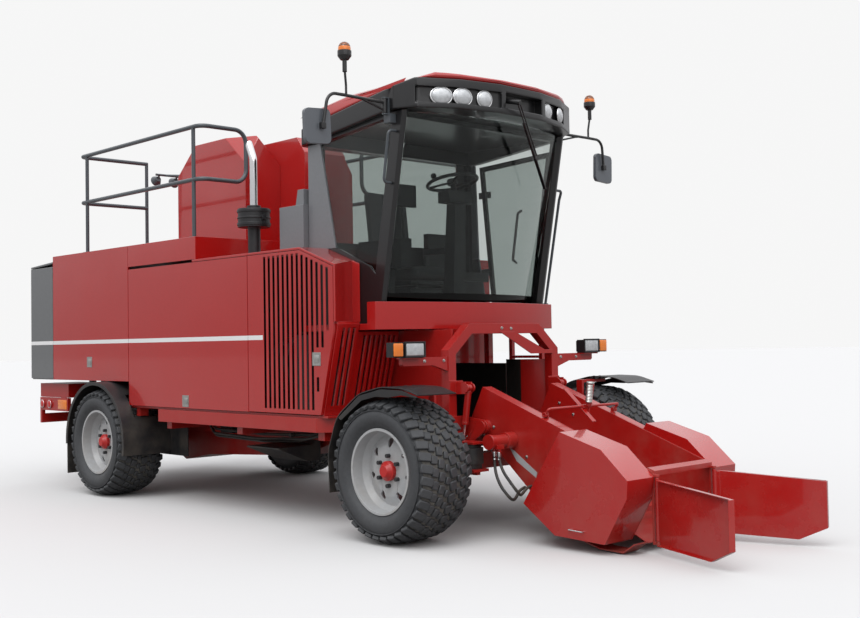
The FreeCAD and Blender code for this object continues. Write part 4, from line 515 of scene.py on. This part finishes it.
for out, up in ((0, 0), (0.004, 0.076)):
    root, lip = tyre_out - 0.022 + out, tyre_out - 0.0095 + out
    section = [(root, 0.362 + up), (lip, 0.364 + up), (lip, 0.369 + up), (root, 0.371 + up)]
    ring = lathe(section, (0, 0, 0), 96)
    coat_of_rubber(ring, lambda face: True)
    bead_rings.append(ring)
whole_tyre = join([whole_tyre] + bead_rings)
tyre_shape = whole_tyre.data
for end, axle_x in (("front", front_axle_x), ("rear", rear_axle_x)):
    for side_name, side in (("right", -1), ("left", 1)):
        mesh = tyre_shape.copy()
        turn = Matrix.Rotation(math.radians(0 if side > 0 else 180), 4, "Z")
        mesh.transform(Matrix.Translation((axle_x, 0, hub_z)) @ turn)
        tyre_piece = bpy.data.objects.new(f"treaded_tyre_{end}_{side_name}", mesh)
        scene.collection.objects.link(tyre_piece)
        drop_selection()
        tyre_piece.select_set(True)
        bpy.context.view_layer.objects.active = tyre_piece
        bpy.ops.object.shade_smooth_by_angle(angle=math.radians(38))
        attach(tyre_piece, f"wheel_{end}_{side_name}")
        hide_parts(f"tyre_{end}_{side_name}")
bpy.data.objects.remove(whole_tyre)

# ---- rims --------------------------------------------------------------------------------------------------
# Pressed steel discs welded in rolled barrels, sprayed silver grey; the wheel nuts are black and the cap over
# the hub is red. One finish covers the wheel and changes with the distance from the hub line.
disc_face_y, cap_radius, nut_reach = 1.2635, 0.078, 0.16


def rim_finish(end, axle_x):
    """Silver grey that turns black on the nuts and red on the hub cap, where they stand proud of the disc."""
    material = finish_of("rim_silver_" + end, (0.40, 0.41, 0.42), 0.38, coat=0.2, dust=0.45, top=1.1,
                         mottle=0.08, peel=0.03, bump=0.001)
    tree = material.node_tree
    shader = tree.nodes["Principled BSDF"]
    silver = shader.inputs["Base Color"].links[0].from_socket
    where = add_node(tree, "TexCoord")
    split = add_node(tree, "SeparateXYZ")
    from_axle = add_node(tree, "Math", operation="SUBTRACT")
    from_axle.inputs[1].default_value = axle_x
    from_hub = add_node(tree, "Math", operation="SUBTRACT")
    from_hub.inputs[1].default_value = hub_z
    spoke = add_node(tree, "CombineXYZ")
    radius = add_node(tree, "VectorMath", operation="LENGTH")
    outward = add_node(tree, "Math", operation="ABSOLUTE")
    proud = add_node(tree, "Math", operation="GREATER_THAN")
    proud.inputs[1].default_value = disc_face_y
    inner = add_node(tree, "Math", operation="LESS_THAN")
    inner.inputs[1].default_value = cap_radius
    near = add_node(tree, "Math", operation="LESS_THAN")
    near.inputs[1].default_value = nut_reach
    nut = add_node(tree, "Math", operation="MULTIPLY")
    cap = add_node(tree, "Math", operation="MULTIPLY")
    nut_mix = add_node(tree, "Mix", data_type="RGBA")
    nut_mix.inputs["B"].default_value = (0.02, 0.02, 0.022, 1)
    cap_mix = add_node(tree, "Mix", data_type="RGBA")
    cap_mix.inputs["B"].default_value = (0.45, 0.010, 0.008, 1)
    wire(tree, [
        (where.outputs["Object"], split.inputs[0]), (split.outputs["X"], from_axle.inputs[0]),
        (split.outputs["Z"], from_hub.inputs[0]), (from_axle.outputs[0], spoke.inputs["X"]),
        (from_hub.outputs[0], spoke.inputs["Z"]), (spoke.outputs[0], radius.inputs[0]),
        (split.outputs["Y"], outward.inputs[0]), (outward.outputs[0], proud.inputs[0]),
        (radius.outputs["Value"], inner.inputs[0]), (radius.outputs["Value"], near.inputs[0]),
        (proud.outputs[0], nut.inputs[0]), (near.outputs[0], nut.inputs[1]),
        (proud.outputs[0], cap.inputs[0]), (inner.outputs[0], cap.inputs[1]),
        (silver, nut_mix.inputs["A"]), (nut.outputs[0], nut_mix.inputs["Factor"]),
        (nut_mix.outputs["Result"], cap_mix.inputs["A"]), (cap.outputs[0], cap_mix.inputs["Factor"]),
        (cap_mix.outputs["Result"], shader.inputs["Base Color"])])
    return material


dress("rim_front_right rim_front_left", rim_finish("front", front_axle_x), 0.002)
dress("rim_rear_right rim_rear_left", rim_finish("rear", rear_axle_x), 0.002)

# ---- glazing -----------------------------------------------------------------------------------------------
# Tinted safety glass: a bowed one-piece windshield with a black fired-on lower border, a fixed right-hand
# pane, a rear window, and the entry door, which is one pane bonded in a black pressed frame on two hinges.
glass_tint, fired_black, border_top = (0.49, 0.53, 0.515, 1), (0.004, 0.004, 0.004, 1), 1.836
glass = bpy.data.materials.new("tinted_glass")
glass.use_nodes = True
for socket, value in (("Base Color", glass_tint), ("Roughness", 0.0), ("IOR", 1.30),
                      ("Transmission Weight", 1.0), ("Specular IOR Level", 0.6)):
    glass.node_tree.nodes["Principled BSDF"].inputs[socket].default_value = value
screen_glass = glass.copy()
screen_glass.name = "screen_glass"
screen_tree = screen_glass.node_tree
screen_place = add_node(screen_tree, "TexCoord")
screen_split = add_node(screen_tree, "SeparateXYZ")
screen_low = add_node(screen_tree, "Math", operation="LESS_THAN")
screen_low.inputs[1].default_value = border_top
screen_mix = add_node(screen_tree, "Mix", data_type="RGBA")
screen_mix.inputs["A"].default_value = glass_tint
screen_mix.inputs["B"].default_value = fired_black
wire(screen_tree, [(screen_place.outputs["Object"], screen_split.inputs[0]),
                   (screen_split.outputs["Z"], screen_low.inputs[0]),
                   (screen_low.outputs[0], screen_mix.inputs["Factor"]),
                   (screen_mix.outputs["Result"], screen_tree.nodes["Principled BSDF"].inputs["Base Color"])])
nodes["cab_glass"].data.materials.clear()
nodes["cab_glass"].data.materials.append(screen_glass)

door = [(0.585, 3.070), (1.452, 3.108), (1.222, 1.780), (0.712, 1.780)]
door_mid = [sum(p[i] for p in door) / 4 for i in (0, 1)]
door_y, door_skin, pane_y = 0.953, 0.028, 0.962


def door_plate(scale, y):
    """A plane with the door's four corners, scaled about its middle."""
    drop_selection()
    bpy.ops.mesh.primitive_plane_add(size=1)
    plate = bpy.context.object
    mid_x, mid_z = door_mid
    corners = [(mid_x + (x - mid_x) * scale, y, mid_z + (z - mid_z) * scale) for x, z in door]
    for vertex, place in zip(plate.data.vertices, (corners[3], corners[2], corners[0], corners[1])):
        vertex.co = place
    return plate


door_frame = door_plate(1.0, door_y)
edit_all()
bpy.ops.mesh.inset(thickness=0.046)
bpy.ops.mesh.delete(type="FACE")
bpy.ops.mesh.select_all(action="SELECT")
bpy.ops.mesh.extrude_region_move(TRANSFORM_OT_translate={"value": (0, door_skin, 0)})
bpy.ops.object.mode_set(mode="OBJECT")
fittings = [door_frame]
for z in (2.060, 2.780):
    fittings.append(block((0.548, 0.981, z), (0.690, 0.999, z + 0.060)))
    fittings.append(bar((0.556, 0.990, z), (0.556, 0.990, z + 0.060), 0.014))
for a, b in (((1.100, 0.953, 2.620), (1.100, 0.902, 2.590)), ((1.100, 0.902, 2.590), (1.030, 0.902, 2.180)),
             ((1.030, 0.902, 2.180), (1.030, 0.953, 2.150))):
    fittings.append(bar(a, b, 0.012))
join(fittings)
door_frame = settle("entry_door_frame", "cab_door_left", black, 0.003)
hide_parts("cab_door_left")
door_plate(0.93, pane_y)
edit_all()
bpy.ops.mesh.extrude_region_move(TRANSFORM_OT_translate={"value": (0, 0.005, 0)})
bpy.ops.object.mode_set(mode="OBJECT")
settle("entry_door_pane", "cab_door_left", glass)

# ---- lamps -------------------------------------------------------------------------------------------------
# Sealed beam units: a bright dished reflector behind a fluted clear lens. The roof ones sit in the recesses
# of the fascia and the headlamps in boxes; the indicators and beacons are amber plastic.
lens = finish_of("fluted_lens", (0.62, 0.64, 0.66), 0.10, metal=0.35, coat=1.0, dust=0.0, mottle=0.25,
                 peel=0.5, bump=0.002)
amber = finish_of("amber_plastic", (0.85, 0.22, 0.02), 0.18, coat=0.6, dust=0.0, mottle=0.12, peel=0.2,
                  bump=0.001)
tail_red = finish_of("tail_lens", (0.5, 0.01, 0.01), 0.15, coat=0.8, dust=0.2, mottle=0.1)


def round_lens(name, centre, facing, radius, bulge, material, wide=1.0):
    """A shallow dome on a ring: a sphere cut down, flattened and turned to face a direction."""
    drop_selection()
    bpy.ops.mesh.primitive_uv_sphere_add(segments=32, ring_count=16, radius=1)
    dome = bpy.context.object
    edit_all()
    bpy.ops.mesh.bisect(plane_co=(0, 0, 0), plane_no=(0, 0, 1), clear_inner=True, use_fill=True)
    bpy.ops.object.mode_set(mode="OBJECT")
    dome.data.transform(Matrix.Diagonal((radius, radius, bulge, 1)))
    quat = Vector(facing).to_track_quat("Z", "Y").to_matrix().to_4x4() @ Matrix.Diagonal((wide, 1, 1, 1))
    dome.data.transform(Matrix.Translation(centre) @ quat)
    bpy.ops.mesh.primitive_torus_add(major_radius=radius * 1.02, minor_radius=radius * 0.09,
                                     major_segments=32, minor_segments=8)
    ring = bpy.context.object
    ring.data.transform(Matrix.Translation(centre) @ quat)
    drop_selection()
    dome.select_set(True)
    bpy.context.view_layer.objects.active = dome
    settle(name, "chassis", material, smooth=60)
    ring.select_set(True)
    bpy.context.view_layer.objects.active = ring
    settle(name + "_bezel", "chassis", chrome, smooth=60)


facet_out, facet_in, facet_join_y = Vector((0.889, 0.459, 0)), Vector((0.976, 0.217, 0)), 0.59
roof_lamp_z, roof_lamp_sunk = 3.318, 0.020
for number, (lamp_x, lamp_y, wide) in enumerate((
        (1.811, -0.724, 1.28), (1.886, -0.562, 1.22), (1.930, -0.367, 1.0), (1.923, 0.396, 1.0),
        (1.876, 0.605, 1.0)), 1):
    facet = facet_out if abs(lamp_y) > facet_join_y else facet_in
    tip = Vector((facet.x, math.copysign(facet.y, lamp_y), 0))
    middle = Vector((lamp_x, lamp_y, roof_lamp_z)) - tip * roof_lamp_sunk
    round_lens(f"roof_lamp_{number}", middle, tip, 0.066, 0.030, lens, wide=wide)
for side_name, side in (("right", -1), ("left", 1)):
    block((1.790, side * 0.947, 1.348), (1.803, side * 1.128, 1.442))
    edit_all()
    bpy.ops.mesh.bevel(offset=0.008, segments=3)
    bpy.ops.object.mode_set(mode="OBJECT")
    settle(f"headlamp_lens_{side_name}", "chassis", lens)
    block((1.786, side * 1.156, 1.346), (1.803, side * 1.246, 1.442))
    settle(f"front_indicator_{side_name}", "chassis", amber, 0.006, 3)
    cap = lathe([(0, 0.0005), (0, 0.0470), (0.012, 0.0475), (0.024, 0.0465), (0.040, 0.0415), (0.054, 0.0310),
                 (0.0625, 0.0160), (0.0655, 0.0005)], (0, 0, 0), 32)
    beacon_base = Matrix.Translation((1.520, side * 1.437, 3.5985))
    cap.data.transform(beacon_base @ Matrix.Rotation(math.radians(90), 4, "X"))
    settle(f"beacon_{side_name}", "mirror_" + side_name, amber, smooth=50)

# ---- seats -------------------------------------------------------------------------------------------------
# Foam cushions under a dark woven cover that pulls in at its seams, with an arm rest on the left, on a black
# moulded pan.
cloth = finish_of("woven_cover", (0.085, 0.087, 0.092), 0.92, dust=0.0, mottle=0.35, peel=0.0, bump=0.0006)
weave_tree = cloth.node_tree
weave_a = add_node(weave_tree, "TexWave", Scale=190.0, Distortion=0.6, bands_direction="Y")
weave_b = add_node(weave_tree, "TexWave", Scale=190.0, Distortion=0.6, bands_direction="Z")
weave_x = add_node(weave_tree, "Math", operation="MULTIPLY")
weave_in = add_node(weave_tree, "TexCoord")
wire(weave_tree, [
    (weave_in.outputs["Object"], weave_a.inputs["Vector"]),
    (weave_in.outputs["Object"], weave_b.inputs["Vector"]),
    (weave_a.outputs[0], weave_x.inputs[0]), (weave_b.outputs[0], weave_x.inputs[1]),
    (weave_x.outputs[0], [n for n in weave_tree.nodes if n.type == "BUMP"][0].inputs["Height"])])


def pad(name, low, high, crown, cad=None, lean=0.0):
    """A foam pad: a subdivided block whose faces crown and whose sides pull in."""
    block(low, high)
    piece = bpy.context.object
    edit_all()
    bpy.ops.mesh.subdivide(number_cuts=9)
    bpy.ops.object.mode_set(mode="OBJECT")
    middle = Vector([(a + b) / 2 for a, b in zip(low, high)])
    half = Vector([abs(b - a) / 2 for a, b in zip(low, high)])
    thin = min(range(3), key=lambda i: half[i])
    others = [i for i in range(3) if i != thin]
    for vertex in piece.data.vertices:
        u = [(vertex.co[i] - middle[i]) / half[i] for i in range(3)]
        edge = max(0.0, 1 - u[others[0]] ** 4) * max(0.0, 1 - u[others[1]] ** 4)
        plump = half[thin] * (0.62 + 0.38 * edge ** 0.5) + crown * edge
        vertex.co[thin] = middle[thin] + u[thin] * plump
        for i in others:
            far = u[others[1]] if i == others[0] else u[others[0]]
            squeeze = 0.985 - 0.02 * (1 - far * far) - 0.05 * abs(u[thin]) ** 3
            vertex.co[i] = middle[i] + half[i] * u[i] * squeeze
    smooth = piece.modifiers.new("smooth", "SUBSURF")
    smooth.levels = smooth.render_levels = 1
    bpy.ops.object.modifier_apply(modifier="smooth")
    if lean:
        piece.data.transform(Matrix.Translation(middle) @ Matrix.Rotation(math.radians(lean), 4, "Y")
                             @ Matrix.Translation(-middle))
    settle(name, "seat", cloth, smooth=80)
    if cad:
        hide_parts(cad)


seat_y = -0.180
pad("seat_cushion_pad", (0.645, seat_y - 0.226, 1.962), (1.115, seat_y + 0.226, 2.082), 0.006,
    cad="seat_cushion")
pad("seat_back_pad", (0.505, seat_y - 0.225, 2.110), (0.615, seat_y + 0.225, 2.750), 0.005, lean=-6.9)
pad("arm_rest_pad", (0.702, seat_y + 0.252, 2.202), (0.998, seat_y + 0.308, 2.258), 0.0)
block((0.690, seat_y - 0.210, 1.922), (1.070, seat_y + 0.210, 1.962))
seat_pan = bpy.context.object
join([seat_pan, block((0.722, seat_y + 0.252, 1.945), (0.758, seat_y + 0.298, 2.205)),
      block((0.702, seat_y + 0.200, 1.930), (0.758, seat_y + 0.298, 1.958))])
settle("seat_pan", "seat", plastic, 0.008, 3)

# ---- fastenings, spring and arm stripe ---------------------------------------------------------------------
# Zinc flange bolts in the lamp arms, the gantry brace and the pickup arms; a ribbed steel spring sleeve on
# the hold-down post; crimped steel hose ends; a wire pull handle low on each cover; a plain painted stripe.
bolt_radius = 0.010
brace_face_x, lamp_arm_x, lamp_arm_z = 1.7499, 1.7419, 1.305
arm_outside_y, arm_inside_y = 0.4499, 0.3501


def hex_bolts(name, body, places):
    """Flange bolts, each at a place and facing a way, made one piece."""
    heads = []
    for place, way in places:
        flange = lathe([(0, 0.0004), (0, bolt_radius * 1.30), (0.002, bolt_radius * 1.30),
                        (0.0035, bolt_radius * 1.02), (0.0035, 0.0004)], (0, 0, 0), 16)
        head = lathe([(0.003, 0.0004), (0.003, bolt_radius), (0.0085, bolt_radius),
                      (0.0105, bolt_radius * 0.84), (0.0105, 0.0004)], (0, 0, 0), 6)
        turn = Vector(way).to_track_quat("Y", "Z").to_matrix().to_4x4()
        for part in (flange, head):
            part.data.transform(Matrix.Translation(place) @ turn)
        heads += [flange, head]
    join(heads)
    settle(name, body, steel, smooth=30)


forward = (1, 0, 0)
gantry_places = [((brace_face_x, -0.043, 1.551), forward), ((brace_face_x, 0.066, 1.547), forward)]
outside_places, inside_places = [], []
for side in (-1, 1):
    for across in (0.689, 0.891):
        gantry_places.append(((lamp_arm_x, side * across, lamp_arm_z), forward))
    for x, z in ((2.024, 0.799), (2.349, 0.594)):
        outside_places.append(((x, side * arm_outside_y, z), (0, side, 0)))
    for x, z in ((2.002, 0.940), (2.142, 0.853)):
        inside_places.append(((x, side * arm_inside_y, z), (0, -side, 0)))
hex_bolts("gantry_bolts", "chassis", gantry_places)
hex_bolts("arm_bolts", "pickup", outside_places + inside_places)
for side_name, side in (("right", -1), ("left", 1)):
    run = [(2.915, 0.650, 0.152), (2.915, 0.676, 0.152), (3.031, 0.676, 0.147), (3.031, 0.650, 0.147)]
    run = [(x, side * y, z) for x, y, z in run]
    join([bar(start, end, 0.0045, 10) for start, end in zip(run, run[1:])])
    settle(f"cover_handle_{side_name}", "pickup", chrome, smooth=50)
crimps = []
for x in (2.204, 2.250):
    crimp = lathe([(0, 0.0004), (0, 0.0135), (0.008, 0.0150), (0.030, 0.0150), (0.034, 0.0125),
                   (0.048, 0.0125), (0.052, 0.0150), (0.058, 0.0150), (0.058, 0.0004)], (0, 0, 0), 16)
    motor_port = Matrix.Translation((x, -0.640, 0.640))
    crimp.data.transform(motor_port @ Matrix.Rotation(math.radians(-90), 4, "X"))
    crimps.append(crimp)
join(crimps)
settle("hose_crimps", "pickup", chrome, smooth=40)
stripe_outline = [(2.185, 0.650), (2.229, 0.633), (2.449, 0.487), (2.437, 0.448), (2.250, 0.558),
                  (2.216, 0.606)]
drop_selection()
bpy.ops.mesh.primitive_circle_add(vertices=6, radius=1, fill_type="NGON")
for vertex, (x, z) in zip(bpy.context.object.data.vertices, stripe_outline):
    vertex.co = (x, -0.4500, z)
edit_all()
bpy.ops.mesh.extrude_region_move(TRANSFORM_OT_translate={"value": (0, -0.0008, 0)})
bpy.ops.object.mode_set(mode="OBJECT")
stripe_paint = finish_of("stripe_paint", (0.42, 0.43, 0.44), 0.35, coat=0.3, dust=0.1, peel=0.02, bump=0.002)
settle("arm_stripe", "pickup", stripe_paint)
spring_rings = [(0, 0.0004), (0, 0.024)]
turns, turn_pitch = 12, 0.011
for turn in range(turns):
    spring_rings += [(0.006 + turn * turn_pitch, 0.0275), (0.0115 + turn * turn_pitch, 0.0235)]
spring_rings += [(0.140, 0.0290), (0.152, 0.0290), (0.155, 0.0255), (0.155, 0.0004)]
spring = lathe(spring_rings, (0, 0, 0), 24)
spring_way = Vector((0.019, 0.0, 0.155)).to_track_quat("Y", "X").to_matrix().to_4x4()
spring.data.transform(Matrix.Translation((2.577, 0.0, 0.978)) @ spring_way)
settle("hold_down_spring", "hold_down", steel, smooth=50)

# ---- door latches and handles ------------------------------------------------------------------------------
# Square stamped-steel paddle latches let into the doors: a raised rim, a dished pan and a folding paddle.
def paddle(name, body, x, z, side):
    """One latch on the outer face of a door, centred at x and z."""
    y = side * 1.2500
    block((x - 0.052, y, z - 0.052), (x + 0.052, y + side * 0.004, z + 0.052))
    plate = bpy.context.object
    edit_all()
    bpy.ops.mesh.select_all(action="DESELECT")
    bpy.ops.object.mode_set(mode="OBJECT")
    for face in plate.data.polygons:
        face.select = face.normal.y * side > 0.9
    bpy.ops.object.mode_set(mode="EDIT")
    bpy.ops.mesh.select_mode(type="FACE")
    bpy.ops.mesh.inset(thickness=0.010)
    bpy.ops.transform.translate(value=(0, -side * 0.003, 0))
    bpy.ops.mesh.inset(thickness=0.014)
    bpy.ops.mesh.extrude_region_move(TRANSFORM_OT_translate={"value": (0, side * 0.006, 0)})
    bpy.ops.object.mode_set(mode="OBJECT")
    settle(name, body, steel, 0.0012)


for side_name, side in (("right", -1), ("left", 1)):
    paddle(f"latch_rear_{side_name}", f"door_rear_{side_name}", -2.808, 1.306, side)
    paddle(f"latch_mid_{side_name}", f"door_mid_{side_name}", -1.004, 0.957, side)
paddle("latch_louvre_right", "door_louvre_right", 0.902, 1.331, -1)

# ---- mirror glasses ----------------------------------------------------------------------------------------
# Silvered glass let into the rear face of each mirror head, with rounded corners. It is made flat and
# thickened backwards, and folds with its arm.
mirror_silver = finish_of("mirror_silver", (0.85, 0.86, 0.87), 0.03, metal=1.0, dust=0.0, mottle=0.02)
mirror_outline, mirror_back_x = [(1.560, 2.914), (1.768, 2.900), (1.569, 3.142), (1.775, 3.128)], 1.4575
for side_name, side in (("right", -1), ("left", 1)):
    drop_selection()
    bpy.ops.mesh.primitive_plane_add(size=1)
    pane = bpy.context.object
    for vertex, (y, z) in zip(pane.data.vertices, mirror_outline):
        vertex.co = (mirror_back_x, side * y, z)
    edit_all()
    bpy.ops.mesh.bevel(offset=0.035, segments=5, affect="VERTICES")
    bpy.ops.mesh.extrude_region_move(TRANSFORM_OT_translate={"value": (-0.003, 0, 0)})
    bpy.ops.object.mode_set(mode="OBJECT")
    settle(f"mirror_glass_{side_name}", "mirror_" + side_name, mirror_silver)

# ---- rear lamps and plate ----------------------------------------------------------------------------------
# Round tail lamps on the side returns of the underrun bar, in pairs, and beside them a blank amber reflector
# plate on each side.
for side_name, side in (("right", -1), ("left", 1)):
    for number, lamp_x in enumerate((-4.050, -3.880), 1):
        place = Vector((lamp_x, side * 1.176, 0.850))
        round_lens(f"tail_lamp_{side_name}_{number}", place, (0, side, 0), 0.040, 0.012, tail_red)
    block((-3.700, side * 1.160, 0.800), (-3.500, side * 1.164, 0.900))
    settle(f"side_plate_{side_name}", "chassis", amber, 0.001)
